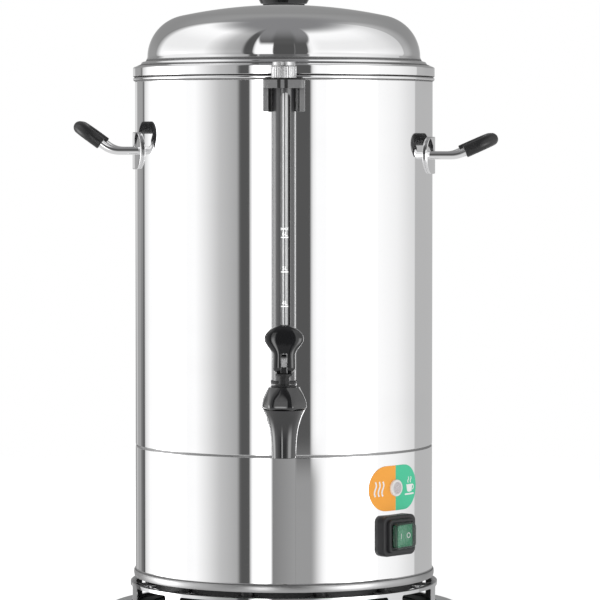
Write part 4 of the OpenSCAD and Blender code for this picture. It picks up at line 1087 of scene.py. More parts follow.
def handle_path(level, angle):
    """Centre line of the right handle: out of the wall, up the bent slope, round both corners and back."""
    up = np.radians(angle)
    slope = np.array([np.cos(up), 0, np.sin(up)])
    corner = np.array([wall_r() + BEND_OUT * MM, 0, level])
    reach, half = (SLOPE_LEN - HANDLE_CORNER) * MM, (LEG_Y - HANDLE_CORNER) * MM
    foot = np.sqrt(wall_r() ** 2 - (LEG_Y * MM - sizes().rod_r) ** 2) + WALL_CLEAR * MM
    a = np.linspace(0, up, 14)
    start = corner[0] - BEND_R * MM * np.tan(up / 2)
    lift = level + BEND_R * MM * (1 - np.cos(a))
    bend = np.column_stack([start + BEND_R * MM * np.sin(a), np.full(14, LEG_Y * MM), lift])
    b = np.linspace(np.pi / 2, 0, 20)
    turn = corner + np.outer(reach + HANDLE_CORNER * MM * np.cos(b), slope)
    turn[:, 1] = half + HANDLE_CORNER * MM * np.sin(b)
    front = np.concatenate([[(foot, LEG_Y * MM, level)], bend, turn])
    return np.concatenate([front, front[::-1] * (1, -1, 1)])


def sleeve(path, lead, thick, bore):
    """A sleeve on the middle of a path: its ends, `lead` along the path, are rounded and close on the rod."""
    total = along(path)[-1]
    edge = GRIP_EDGE * MM
    t = np.linspace(0, np.pi / 2, 6)
    ends = lead + edge * (1 - np.cos(t))
    radii = thick - edge + edge * np.sin(t)
    body = np.linspace(lead + 2 * edge, total - lead - 2 * edge, 90)
    lengths = np.concatenate([[lead - 0.01 * MM], ends, body, total - ends[::-1], [total - lead + 0.01 * MM]])
    sections = np.concatenate([[bore], radii, np.full(90, thick), radii[::-1], [bore]])
    return tube(resampled(path, lengths), sections, 48)


class URN_OT_handles(bpy.types.Operator):
    """Two side handles: saddle plate, bent rod and black sleeve"""

    bl_idname = "urn.handles"
    bl_label = "Handles"

    def execute(self, context):
        s = sizes()
        w, h, r, t = [mm * MM for mm in (SADDLE_W, SADDLE_H, SADDLE_CORNER, SADDLE_T)]
        saddle = plate(w, h, r, WALL_CLEAR * MM, t, s.soft_edge, 16)
        for side, name in ((-1, "left"), (1, "right")):
            level = float(middle(f"{name}_handle_plate")[2])
            angle = BEND_ANGLES[name]
            path = handle_path(level, angle)
            lead = path[1, 0] - path[0, 0] + BEND_R * MM * np.radians(angle) + GRIP_LEAD * MM
            path = path * (side, 1, 1)
            grip = sleeve(path, lead, s.grip_r, s.rod_r)
            held = on_wall(saddle, side * np.pi / 2, level, wall_r(), True)
            piece(f"{name}_rod", [tube(path, s.rod_r)], "polished_steel", stands_for=[f"{name}_handle_rod"])
            piece(f"{name}_grip", [grip], "grip_black", stands_for=[f"{name}_handle_grip"])
            piece(f"{name}_saddle", [held], "polished_steel", stands_for=[f"{name}_handle_plate"])
        return {"FINISHED"}


# Tap, in millimetres

TAP_SHANK_Z = 166.5
TAP_BORE = 6.4
TAP_BORE_H = 21.0
TAP_MOUTH = 8.6
TAP_SHANK_R = 8.0
TAP_FLANGE_R = 13.0
TAP_EDGE = 0.6
# Flare of the spout: its even part, the power of the rest, and how far it stands out below the bonnet
FLARE_EVEN = 0.9
FLARE_POWER = 3.2
FLARE_OVER = 0.8
# Distances before the wall at which the flange starts and ends, and its slope to the shank
FLANGE = (2.2, 4.2)
FLANGE_SLOPE = (4.8, 8.0)
# Boss that carries the gauge: radius below and at its top, height of its flare, and the guard's seat in it
BOSS_R = 8.6
BOSS_TOP_R = 9.7
BOSS_FLARE = 7.0
BOSS_SEAT_R = 5.6
BOSS_SEAT = 4.0
BONNET_CORNER = 16.7
BONNET_RAW = 17.35
BONNET_FOOT = 15.2
BONNET_TOP = 11.6
BONNET_WIDEST = 2.5
BONNET_H = 16.4
BONNET_TURN = -8.0
# Root that softens the bonnet's corners, the power by which it narrows, and how it turns round: from a share
# of its height, over a share, by a power, to a share of its corner's radius
BONNET_ROOT = 24.0
BONNET_POWER = 1.6
FADE_FROM = 0.45
FADE_OVER = 0.5
FADE_POWER = 1.5
FADE_TO = 0.95
COVER_R = 9.3
COVER_T = 0.8
NECK_R = 3.8
HEEL_R = 6.0
HEEL_T = 1.6
LEVER_SLOT = 4.7
LEVER_SLOT_TOP = 8.5
LEVER_TOE = 5.0
LEVER_KNUCKLE = 8.5
LEVER_WAIST = 8.3
LEVER_HEAD = 14.2
LEVER_DROP = 6.0
# Shares of the lever's height at which its knuckle, waist and head lie, and the power of the round head
KNUCKLE_AT = 0.12
WAIST_AT = 0.38
HEAD_AT = 0.71
HEAD_POWER = 0.62
# Power of the lever's rounded section
SECTION_POWER = 0.8
# Lever's front and back, as distances from the pin at shares of its height
LEVER_SHARES = (0, 0.1, 0.36, 0.6, 0.85, 0.96, 1.0)
LEVER_FRONT = (-3.0, -5.6, -6.0, -5.8, -5.2, -3.2, 0.0)
LEVER_BACK = (4.2, 4.9, 4.9, 4.5, 4.0, 2.6, 0.0)
# How far below the pin the stem is black
STEM_BLACK_DROP = 1.2
# Spring that closes the tap
SPRING_WIRE = 0.7
SPRING_TURNS = 5


def spout_profile():
    """Section of the spout: the bore, the mouth and the flare, which widens slowly and then quickly."""
    low = foot_of("tap_body")
    bonnet = foot_of("tap_bonnet")
    wide = BONNET_CORNER * np.cos(np.radians(30)) + FLARE_OVER
    t = np.linspace(0.03, 1, 30)
    flare = (TAP_MOUTH + FLARE_EVEN * t + (wide - TAP_MOUTH - FLARE_EVEN) * t**FLARE_POWER) * MM
    outside = np.column_stack([flare, low + (bonnet - low) * t])
    bore, end = TAP_BORE * MM, low + TAP_BORE_H * MM
    mouth = eased([(bore, end), (bore, low), (TAP_MOUTH * MM, low), outside[0]], 0.7 * MM)
    return np.concatenate([[(0, end)], mouth, outside[1:], [(0, bonnet)]])


def spout_grids():
    """The tap's body: the spout, the shank through the wall with its flange, and the gauge's boss."""
    level, guard_z = TAP_SHANK_Z * MM, foot_of("gauge_guard")
    shank, wide = TAP_SHANK_R * MM, TAP_FLANGE_R * MM
    face, inner_end = -wall_r(), span("tap_body")[1][1]
    back, front, step, slope = [face - mm * MM for mm in (*FLANGE, *FLANGE_SLOPE)]
    flange = [
        (0, inner_end), (shank, inner_end), (shank, back), (wide, back), (wide, front),
        (shank + 1 * MM, step), (shank, slope), (shank, TAP[1]), (0, TAP[1]),
    ]
    seat_r, seat = BOSS_SEAT_R * MM, guard_z - BOSS_SEAT * MM
    boss = [
        (0, level), (BOSS_R * MM, level), (BOSS_R * MM, guard_z - BOSS_FLARE * MM),
        (BOSS_TOP_R * MM, guard_z), (seat_r, guard_z), (seat_r, seat), (0, seat),
    ]
    return [
        lathe(spout_profile(), TAP),
        lathe(eased(flange, TAP_EDGE * MM), (0, 0, level), axis=1),
        lathe(eased(boss, TAP_EDGE * MM), GAUGE),
    ]


def spring_grid():
    """The spring: a wire that climbs evenly round the stem and closes to a point at both ends."""
    low, high = span("tap_spring")
    wire = SPRING_WIRE * MM
    a = np.linspace(0, 2 * np.pi * SPRING_TURNS, 24 * SPRING_TURNS + 1)
    r = (high[0] - low[0]) / 2 - wire
    climb = np.linspace(low[2] + wire, high[2] - wire, len(a))
    thick = np.full(len(a), wire)
    thick[[0, -1]] = 0
    return tube(np.column_stack([TAP[0] + r * np.cos(a), TAP[1] + r * np.sin(a), climb]), thick)


def bonnet_grids():
    """The bonnet: a hexagon with soft corners, the -24th root of the sum of its own and a circle's -24th
    powers, that bulges near its foot and turns round toward its top. On it a thin cover, the neck and the
    lever's plate."""
    low, high = span("tap_bonnet")
    a = np.linspace(0, 2 * np.pi, 241)
    flat = BONNET_RAW * np.cos(np.radians(30))
    hexagon = flat / np.cos((a - np.radians(BONNET_TURN)) % (np.pi / 3) - np.pi / 6)
    h = np.linspace(0, BONNET_H, 44)[:, None]
    below = np.clip(1 - h / BONNET_WIDEST, 0, 1) ** 2
    above = np.clip((h - BONNET_WIDEST) / (BONNET_H - BONNET_WIDEST), 0, 1) ** BONNET_POWER
    round_r = BONNET_CORNER - (BONNET_CORNER - BONNET_FOOT) * below - (BONNET_CORNER - BONNET_TOP) * above
    fade = np.clip((h / BONNET_H - FADE_FROM) / FADE_OVER, 0, 1) ** FADE_POWER
    shape = (hexagon**-BONNET_ROOT + BONNET_CORNER**-BONNET_ROOT) ** (-1 / BONNET_ROOT)
    nut = round_r / BONNET_CORNER * (shape * (1 - fade) + FADE_TO * BONNET_CORNER * fade) * MM
    lift = np.broadcast_to(low[2] + h * MM, nut.shape)
    sides = np.stack([nut * np.cos(a), nut * np.sin(a), lift], -1)
    foot, crown = sides[:1] * (0, 0, 1), sides[-1:] * (0, 0, 1)
    top, heel = low[2] + BONNET_H * MM, high[2] - HEEL_T * MM
    cover = top + COVER_T * MM
    post = [
        (0, top), (COVER_R * MM, top), (COVER_R * MM, cover), (NECK_R * MM, cover),
        (NECK_R * MM, heel), (HEEL_R * MM, heel), (HEEL_R * MM, high[2]), (0, high[2]),
    ]
    return [np.concatenate([foot, sides, crown]) + TAP, lathe(eased(post, 0.25 * MM), TAP)]


def lever_half(t):
    """Half width of the lever at a share t of its height: from toe to knuckle, waist and round head."""
    sink = (t - KNUCKLE_AT) / (WAIST_AT - KNUCKLE_AT)
    rise = (t - WAIST_AT) / (HEAD_AT - WAIST_AT)
    close = (t - HEAD_AT) / (1 - HEAD_AT)
    foot = LEVER_TOE + (LEVER_KNUCKLE - LEVER_TOE) * np.sin(t / KNUCKLE_AT * np.pi / 2)
    neck = LEVER_WAIST + (LEVER_KNUCKLE - LEVER_WAIST) * (1 + np.cos(sink * np.pi)) / 2
    swell = LEVER_WAIST + (LEVER_HEAD - LEVER_WAIST) * (1 - np.cos(rise * np.pi)) / 2
    head = LEVER_HEAD * np.clip(1 - close**2, 0, 1) ** HEAD_POWER
    return np.select([t < KNUCKLE_AT, t < WAIST_AT, t < HEAD_AT], [foot, neck, swell], head)


def lever_face(t, knots):
    """Front or back of the lever at shares t of its height: straight between its knots, then smoothed."""
    face = np.interp(t, LEVER_SHARES, knots) * MM
    face[2:-2] = np.convolve(face, np.ones(5) / 5, "valid")
    return face


def lever_grids():
    """The lever: at each height a rounded section between its front and back, split by the stem's slot below.
    Each half's outline runs from the slot's front edge round the side to the slot's back edge."""
    top, pin_z = top_of("tap_lever"), middle("lever_pin")[2]
    t = np.concatenate([[0.0], np.linspace(0.004, 0.97, 60), 1 - 0.03 * np.linspace(0.9, 0, 14) ** 2])
    half = lever_half(t) * MM
    z = pin_z - LEVER_DROP * MM + (LEVER_DROP * MM + top - pin_z) * t
    front, back = lever_face(t, LEVER_FRONT), lever_face(t, LEVER_BACK)
    u = np.linspace(-np.pi / 2, np.pi / 2, 33)
    slot = LEVER_SLOT / 2 * MM
    across = slot + np.outer(np.maximum(half - slot, 0), np.abs(np.cos(u)) ** SECTION_POWER)
    across = np.minimum(across, np.maximum(half, 0)[:, None])
    depth = np.outer((back - front) / 2, np.sign(np.sin(u)) * np.abs(np.sin(u)) ** SECTION_POWER)
    depth += ((back + front) / 2)[:, None]
    right = np.stack([across, depth, np.broadcast_to(z[:, None], across.shape)], -1)
    left = right[:, ::-1] * (-1, 1, 1)
    split = int(np.argmax(z > pin_z + LEVER_SLOT_TOP * MM))
    head = np.concatenate([right[split:], left[split:]], axis=1)
    return [capped(closed(part)) + TAP for part in (right[: split + 1], left[: split + 1], head)]


class URN_OT_tap(bpy.types.Operator):
    """Black tap: spout, shank, bonnet and lever, and the spring round the stem"""

    bl_idname = "urn.tap"
    bl_label = "Tap"

    def execute(self, context):
        piece("tap_spout", spout_grids(), "black_gloss", stands_for=["tap_body"], finish_name="tap_gloss")
        spring = piece("valve_spring", [spring_grid()], "fastener_steel", stands_for=["tap_spring"])
        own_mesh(spring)
        nut = bonnet_grids()
        piece("tap_nut_top", nut, "black_gloss", stands_for=["tap_bonnet"], finish_name="tap_gloss")
        piece("tap_handle", lever_grids(), "black_gloss", "lever", ["tap_lever"])
        return {"FINISHED"}


# Sight gauge, in millimetres

GLASS_T = 1.3
GUARD_R = 8.5
GUARD_TURN = 8.0
EAR_GAP = 2.6
GUARD_BORE = 5.6
GUARD_SLOT = 7.0
GUARD_SLOT_TOP = 3.3
GUARD_SLOT_FOOT = 3.0
# Corners and edges of the bracket's plate and ears, and how far the ears stay behind its front
BRACKET_CORNER = 3.6
BRACKET_EDGE = 0.6
EAR_CORNER = 0.8
EAR_EDGE = 0.1
EAR_BACK = 2.0
# Spigot of the bracket, and the cap on it
SPIGOT_R = 6.3
SPIGOT_H = 5.6
CAP_BORE = 6.34
CAP_DEEP = 5.6
CAP_STEP = 0.8
CAP_PLAIN_H = 3.5
CAP_RIBS = 28
CAP_RIB = 0.25
CAP_SHARP = 60
# Litre marks: their spacing, the height of the highest, and how far they stand out of the glass
MARK_GAP = 25.0
MARK_TOP_Z = 297.0
MARK_OUT = 0.22
# Lines, numerals and word of the marks, and how far the latter two stand above the line
MARK_LINE = (5.8, 0.8)
NUMERAL_H = 3.0
NUMERAL_UP = 1.2
WORD_H = 2.1
WORD_UP = 5.2
# Height of a capital as a share of the type's size, and how much the strokes are thickened
CAPITAL = 0.73
STROKE = 0.01


def turned(points, degrees):
    """Points turned about the upright axis, from the front toward the right."""
    c, s = np.cos(np.radians(degrees)), np.sin(np.radians(degrees))
    x, y = points[..., 0], points[..., 1]
    return np.stack([x * c - y * s, x * s + y * c, points[..., 2]], -1)


def guard_grids():
    """The guard: two half shells on either side of a slot that is open at the front and the back and closes
    in a half circle at its top, and a full ring at each end."""
    low, high = span("gauge_guard")
    half = GUARD_SLOT / 2 * MM
    arch = high[2] - GUARD_SLOT_TOP * MM - half
    foot = low[2] + GUARD_SLOT_FOOT * MM
    rise = half * np.sin(np.linspace(0, np.pi / 2, 16))
    z = np.concatenate([np.linspace(foot, arch, 40), arch + rise[1:]])
    open_half = np.sqrt(np.clip(half**2 - np.clip(z - arch, 0, None) ** 2, 0, None))
    t = np.linspace(0, 1, 41)
    walls = []
    for r, way in ((GUARD_R * MM, t), (GUARD_BORE * MM, t[::-1])):
        edge = np.arcsin(open_half / r)[:, None]
        swing = edge + (np.pi - 2 * edge) * way
        lift = np.broadcast_to(z[:, None], swing.shape)
        walls.append(np.stack([r * np.sin(swing), -r * np.cos(swing), lift], -1))
    shell = closed(np.concatenate(walls, axis=1))
    shells = [turned(half_shell, GUARD_TURN) + GAUGE for half_shell in (shell, shell * (-1, 1, 1))]
    ends = [(low[2], foot), (arch + half, high[2])]
    return shells + [lathe(hoop(GUARD_BORE * MM, GUARD_R * MM, *end), GAUGE) for end in ends]


def cap_grid():
    """The knurled cap: a turned section whose lower part is ribbed by the size of a cosine round the cap."""
    low, high = span("gauge_cap")
    r, crown = high[0], high[0] - CAP_STEP * MM
    bore, deep = CAP_BORE * MM, low[2] + CAP_DEEP * MM
    plain = high[2] - CAP_PLAIN_H * MM
    outline = eased([
        (bore, deep), (bore, low[2]), (r, low[2]), (r, plain),
        (crown, plain + 0.5 * MM), (crown, high[2]), (0, high[2]),
    ], SHEET_EDGE)
    profile = np.concatenate([[(0, deep)], supported(outline, 2 * MM)])
    grid = lathe(profile, turns=8 * CAP_RIBS)
    a = np.linspace(0, 2 * np.pi, grid.shape[1])
    ribbed = (profile[:, 0] > r - 0.35 * MM) & (profile[:, 1] < plain + 0.1 * MM)
    depth = ribbed[:, None] * CAP_RIB * MM * (1 - np.abs(np.cos(CAP_RIBS / 2 * a)))[None]
    grid[..., :2] *= (1 - depth / np.maximum(profile[:, :1], 1 * MM))[..., None]
    return grid + GAUGE


def bracket_grids():
    """The bracket: a plate with rounded corners under the rim, an ear down each side, and a spigot."""
    low, high = span("gauge_bracket")
    wide, front, top = 2 * high[0], low[1], high[2] - SPIGOT_H * MM
    under = top_of("gauge_guard")
    back = -LIP_R - 0.4 * MM
    head = plate(wide, back - front, BRACKET_CORNER * MM, under, top, BRACKET_EDGE * MM)
    head = head + (0, (back + front) / 2, 0)
    ear_w = wide / 2 - (GUARD_R + EAR_GAP) * MM
    ear_front, ear_back = front + EAR_BACK * MM, -wall_r() - 0.1 * MM
    deep = ear_back - ear_front
    ear = plate(ear_w, deep, EAR_CORNER * MM, low[2], under + 1 * MM, EAR_EDGE * MM)
    ears = [ear + (side * (wide - ear_w) / 2, (ear_front + ear_back) / 2, 0) for side in (-1, 1)]
    foot, r = top - 1 * MM, SPIGOT_R * MM
    return [head, *ears, lathe([(0, foot), (r, foot), (r, high[2]), (0, high[2])], GAUGE)]


def lettering(text, height):
    """Corners and faces of a line of plain text, centred, as a flat mesh of the given capital height."""
    line = bpy.data.curves.new("mark", "FONT")
    line.body = text
    line.align_x = "CENTER"
    line.size = height / CAPITAL
    line.offset = STROKE * height
    holder = bpy.data.objects.new("mark", line)
    mesh = bpy.data.meshes.new_from_object(holder)
    points = np.zeros(len(mesh.vertices) * 3)
    mesh.vertices.foreach_get("co", points)
    faces = [list(p.vertices) for p in mesh.polygons]
    bpy.data.objects.remove(holder)
    bpy.data.curves.remove(line)
    bpy.data.meshes.remove(mesh)
    return points.reshape(-1, 3), faces


def bar_mark(wide, tall, steps=12):
    """Corners and faces of a flat bar, cut into short lengths so that it can be bent."""
    x, y = np.meshgrid(np.linspace(-wide / 2, wide / 2, steps + 1), (-tall / 2, tall / 2))
    faces = [[i, i + 1, i + steps + 2, i + steps + 1] for i in range(steps)]
    return np.column_stack([x.ravel(), y.ravel(), np.zeros(x.size)]), faces


def gauge_marks():
    """A white line and a numeral for each litre, bent round the front of the glass."""
    marks = []
    for k, words in enumerate(("6L", "5L", "4L")):
        z = (MARK_TOP_Z - k * MARK_GAP) * MM
        marks.append((bar_mark(MARK_LINE[0] * MM, MARK_LINE[1] * MM), z))
        marks.append((lettering(words, NUMERAL_H * MM), z + NUMERAL_UP * MM))
        if k == 0:
            marks.append((lettering("MAX", WORD_H * MM), z + WORD_UP * MM))
    glass = radius_of("gauge_tube") + MARK_OUT * MM
    points, faces, start = [], [], 0
    for (flat, shape), lift in marks:
        a = flat[:, 0] / glass + np.radians(GUARD_TURN)
        across, out = glass * np.sin(a), GAUGE[1] - glass * np.cos(a)
        points.append(np.column_stack([across, out, lift + flat[:, 1]]))
        faces += [[start + i for i in f] for f in shape]
        start += len(flat)
    mesh = bpy.data.meshes.new("gauge_marks")
    mesh.from_pydata(np.concatenate(points), [], faces)
    return mesh


class URN_OT_gauge(bpy.types.Operator):
    """Sight gauge: glass tube with litre marks, slotted guard, bracket and knurled cap"""

    bl_idname = "urn.gauge"
    bl_label = "Sight gauge"

    def execute(self, context):
        low, high = span("gauge_tube")
        wall = hoop(high[0] - GLASS_T * MM, high[0], low[2], high[2])
        glass = [lathe(supported(wall, 30 * MM), GAUGE, turns=64)]
        piece("sight_glass", glass, "gauge_glass", stands_for=["gauge_tube"])
        finished("litre_marks", gauge_marks(), "legend_print", finish_name="gauge_print")
        guard, mount = guard_grids(), bracket_grids()
        piece("gauge_shield", guard, "black_gloss", BODY, ["gauge_guard"], finish_name="black_lacquer")
        piece("gauge_mount", mount, "black_gloss", BODY, ["gauge_bracket"], finish_name="bracket_lacquer")
        cap = [cap_grid()]
        piece("gauge_knob", cap, "polished_steel", "gauge_cap", ["gauge_cap"], CAP_SHARP, "knurled_steel")
        return {"FINISHED"}


# Switch and lamp, in millimetres

BEZEL_W = 36.0
BEZEL_H = 30.0
BEZEL_CORNER = 5.0
BEZEL_STEP = 4.7
BEZEL_OUT = 7.5
BEZEL_EDGE = 1.2
# Raised frame of the bezel: its width, its corner, the height of its foot and its edge
BEZEL_RIM = 2.6
RIM_CORNER = 3.0
RIM_FOOT = 2.0
RIM_EDGE = 1.1
CASE_W = 23.2
CASE_H = 19.4
CASE_CORNER = 1.0
BOOT_FOOT = 6.45
BOOT_OUT = 12.2
BOOT_CLEAR = 0.1
BOOT_CORNER = 4.0
BOOT_EDGE = 3.0
ROCKER_AXIS = 3.5
ROCKER_TILT = 8.0
ROCKER_W = 19.4
ROCKER_H = 16.4
ROCKER_CROWN = 6.2
ROCKER_DIP = 1.3
# Signs on the rocker: distance from its middle, size of the bar, and inner and outer radius of the ring
SIGN_X = 4.9
SIGN_BAR = (0.9, 4.2)
SIGN_RING = (1.4, 2.1)
LEGEND_W = 53.0
LEGEND_H = 33.5
LEGEND_T = 0.4
# Distance of the legend's signs from the lamp
LEGEND_X = 17.0
LENS_R = 6.25
LENS_BACK = -6.9
# Lens: how far its side, its shoulder and its middle stand out of the wall, and the rounding between them
LENS_OUT = (2.2, 2.35, 2.4)
LENS_SHOULDER = 2.2
LENS_EDGE = 0.9


def frame_grid(w, h, r, hole_w, hole_h, low, high, edge):
    """A rounded rectangular frame: up its outside, over its rounded rim and down into its hole."""
    rim, inner_r = rounding(edge, high), CASE_CORNER * MM
    rows = [(rounded_rect(w - 2 * d, h - 2 * d, max(r - d, FRAME_CORNER)), z) for d, z in [(0, low)] + rim]
    inside = rim[::-1] + [(0, low)]
    return stacked(rows + [(rounded_rect(hole_w + 2 * d, hole_h + 2 * d, inner_r + d), z) for d, z in inside])


def bezel_grids(z):
    """The switch bezel: a wide flange that follows the wall, and a narrower raised frame on it."""
    wall = wall_r()
    hole = CASE_W * MM, CASE_H * MM
    w, h, corner = BEZEL_W * MM, BEZEL_H * MM, BEZEL_CORNER * MM
    flange = frame_grid(w, h, corner, *hole, 0, BEZEL_STEP * MM, BEZEL_EDGE * MM)
    sag = wall - np.sqrt(wall**2 - flange[..., 0] ** 2)
    flange[..., 2] = np.where(flange[..., 2] < 0.1 * MM, -sag, flange[..., 2])
    w, h = (CASE_W + 2 * BEZEL_RIM) * MM, (CASE_H + 2 * BEZEL_RIM) * MM
    raised = frame_grid(w, h, RIM_CORNER * MM, *hole, RIM_FOOT * MM, BEZEL_OUT * MM, RIM_EDGE * MM)
    return [on_wall(grid, PANEL, z, wall, False) for grid in (flange, raised)]


def boot_grid(z):
    """The clear boot: a rounded cap, open below."""
    w, h = (CASE_W - BOOT_CLEAR) * MM, (CASE_H - BOOT_CLEAR) * MM
    cap = 10
    grid = plate(w, h, BOOT_CORNER * MM, BOOT_FOOT * MM, BOOT_OUT * MM, BOOT_EDGE * MM, cap)
    return on_wall(grid[cap + 1 :], PANEL, z, wall_r(), False)


def rocker_grid(z):
    """The rocker: a section of two faces that meet in a shallow valley, carried up between two drawn-in ends
    and turned by its tilt about the pivot."""
    half, crown, dip = ROCKER_W / 2, ROCKER_CROWN, ROCKER_DIP
    corners = [
        (0, crown - dip), (half, crown), (half - 1, 1), (4, -3),
        (-4, -3), (1 - half, 1), (-half, crown), (0, crown - dip),
    ]
    section = eased(corners, 0.8, 6) * MM
    end = ROCKER_H / 2 * MM
    heights = np.array([-end, -end, -end + 0.5 * MM, end - 0.5 * MM, end, end])
    drawn = np.array([0, 0.94, 1, 1, 0.94, 0])
    centre = section.mean(axis=0)
    flat = centre + drawn[:, None, None] * (section - centre)[None]
    lift = np.broadcast_to(heights[:, None], flat.shape[:2])
    return tilted(np.stack([flat[..., 0], lift, flat[..., 1]], -1), z)


def tilted(local, z):
    """Turns the rocker's own x, height and outward distance by its tilt, and sets them on the wall."""
    t = np.radians(ROCKER_TILT)
    x = local[..., 0] * np.cos(t) + local[..., 2] * np.sin(t)
    out = -local[..., 0] * np.sin(t) + local[..., 2] * np.cos(t)
    return on_wall(np.stack([x, local[..., 1], out], -1), PANEL, z, wall_r() + ROCKER_AXIS * MM, False)


def rocker_signs(z):
    """The bar of on and the ring of off, printed on the rocker's two faces."""
    slope = ROCKER_DIP / (ROCKER_W / 2)
    outline = rounded_rect(SIGN_BAR[0] * MM, SIGN_BAR[1] * MM, 0.3 * MM, 4)
    bar = closed(np.array([outline, outline * 0]))
    ring = lathe([(r * MM, 0) for r in SIGN_RING], turns=40)
    grids = []
    for mark, x in ((bar, -SIGN_X * MM), (ring, SIGN_X * MM)):
        across = x + mark[..., 0]
        face = (ROCKER_CROWN - ROCKER_DIP) * MM + np.abs(across) * slope + 0.05 * MM
        grids.append(tilted(np.stack([across, mark[..., 1], face], -1), z))
    return grids


def strip(path, width):
    """A flat ribbon of constant width along a line in the plane, given in millimetres."""
    ahead = np.gradient(path, axis=0)
    ahead /= np.linalg.norm(ahead, axis=1)[:, None]
    side = ahead[:, ::-1] * (-1, 1)
    return np.stack([path - side * width / 2, path + side * width / 2], axis=1)


def legend_signs(z):
    """Plain signs on the legend: three heat waves on its left half and a steaming cup on its right."""
    t = np.linspace(-1, 1, 25)
    level, a, x = np.ones(25), np.linspace(0, np.pi, 25), LEGEND_X
    sway = np.sin(t * np.pi)
    waves = [np.column_stack([-x + 3.6 * k + 0.9 * sway, 5.5 * t]) for k in (-1, 0, 1)]
    brim = np.column_stack([x + 4.2 * t, 1.6 * level])
    bottom = np.column_stack([x + 3.15 * t, -3.2 - 0.9 * np.sqrt(1 - t**2)])
    handle = np.column_stack([x + 4 + 1.8 * np.sin(a), -0.6 + 1.7 * np.cos(a)])
    saucer = np.column_stack([x + 6 * t, -5.6 * level])
    steam = [np.column_stack([x + 1.7 * k + 0.6 * sway, 5.0 + 2.2 * t]) for k in (-1, 1)]
    signs = [strip(wave, 1.3) for wave in waves]
    signs += [np.stack([brim, bottom], 1), strip(handle, 0.9), strip(saucer, 1.2)]
    signs += [strip(line, 0.9) for line in steam]
    out = LEGEND_T + 0.04
    lifted = [np.concatenate([s, np.full(s.shape[:2] + (1,), out)], -1) * MM for s in signs]
    return [on_wall(s, PANEL, z, wall_r(), True) for s in lifted]


def lens_grid(z):
    """The lamp's lens: a short drum with a rounded edge and a gently domed face, set square to the wall."""
    radii = (0, LENS_R, LENS_R, LENS_R - LENS_SHOULDER, 0)
    drum = list(zip(radii, (LENS_BACK, LENS_BACK, *LENS_OUT)))
    return on_wall(lathe(eased(drum, LENS_EDGE) * MM, turns=64), PANEL, z, wall_r(), False)


class URN_OT_switch(bpy.types.Operator):
    """Rocker switch: stepped bezel, green rocker with its signs, and clear boot"""

    bl_idname = "urn.switch"
    bl_label = "Switch"

    def execute(self, context):
        z = float(middle("switch_bezel")[2])
        piece("switch_frame", bezel_grids(z), "black_matte", stands_for=["switch_bezel"])
        piece("rocker_key", [rocker_grid(z)], "rocker_green", "rocker", ["switch_rocker"])
        piece("rocker_signs", rocker_signs(z), "rocker_green", "rocker", finish_name="printed_white")
        piece("switch_cover", [boot_grid(z)], "boot_clear", stands_for=["switch_boot"])
        return {"FINISHED"}


class URN_OT_lamp(bpy.types.Operator):
    """Pilot lamp: two-colour legend with plain signs, and its lens"""

    bl_idname = "urn.lamp"
    bl_label = "Lamp"

    def execute(self, context):
        z = float(middle("indicator_label")[2])
        w, h, t = LEGEND_W * MM, LEGEND_H * MM, LEGEND_T * MM
        film = plate(w, h, h / 2 - 0.001 * MM, 0.03 * MM, t, 0.15 * MM, 16)
        legend = on_wall(film, PANEL, z, wall_r(), True)
        piece("legend", [legend], "legend_print", stands_for=["indicator_label"])
        piece("legend_signs", legend_signs(z), "legend_print", finish_name="printed_white")
        piece("lamp_lens", [lens_grid(z)], "lens_clear", stands_for=["indicator_lens"])
        return {"FINISHED"}


# Frame pieces whose finish isn't that of their slot
FITTING_FINISHES = {"tap_stem": "dipped_stem"}


class URN_OT_fittings(bpy.types.Operator):
    """Finishes of the frame's own pieces: fasteners, seals, heater, wiring, inlet and percolator"""

    bl_idname = "urn.fittings"
    bl_label = "Fittings"

    def execute(self, context):
        for entry in frame["record"]["subparts"]:
            made = frame["nodes"][entry["node"]]
            if made.hide_render:
                continue
            made.data.materials.clear()
            made.data.materials.append(finish(FITTING_FINISHES.get(entry["node"], entry["material_slot"])))
        return {"FINISHED"}


# Studio

# What the studio shows all round the urn: bearing in degrees from the front, and shade on screen
STUDIO_BANDS = (
    (-180, 0.72), (-166, 0.85), (-160, 0.85), (-157, 0.61), (-141, 0.61), (-140, 0.4), (-138, 0.4),
    (-136, 0.85), (-127, 1.0), (-72, 1.0), (-62, 0.9), (-50, 0.745), (-36, 0.65), (-33.5, 0.33), (-26, 0.33),
    (-25, 1.0), (-9.5, 1.0), (-8.8, 0.5), (8.5, 0.59), (9, 0.33), (20, 0.33), (21.5, 0.92), (25, 1.0),
    (80, 0.99), (97, 0.95), (112, 0.88), (121, 0.85), (122, 0.7), (170, 0.69), (180, 0.72),
)
# How much the bands are raised, because steel takes some of their light
BAND_GAIN = 1.1
# Bearings between which the soft boxes are brighter than white in a reflection, the width of their soft
# edges, and how much brighter they are
SOFT_BOXES = ((-124, -80, 16.0), (-24, -10, 4.0), (32, 78, 16.0))
BOX_GAIN = 3.5
# Table top: radii of its rings and its height, in metres, and the share of its own light
TABLE_RINGS = (0, 0.2, 0.5, 1.0, 1.6)
TABLE_Z = -0.0002
TABLE_GLOW = 0.55
# Key lamp: size and place in metres, and its tilt and turn in degrees
KEY_SIZE = 1.6
KEY_AT = (-0.9, -1.4, 1.9)
KEY_TILT = 41.0
KEY_TURN = -32.7


def linear(shade):
    """Light of a shade on screen, from 0 to 1."""
    return shade**2.2


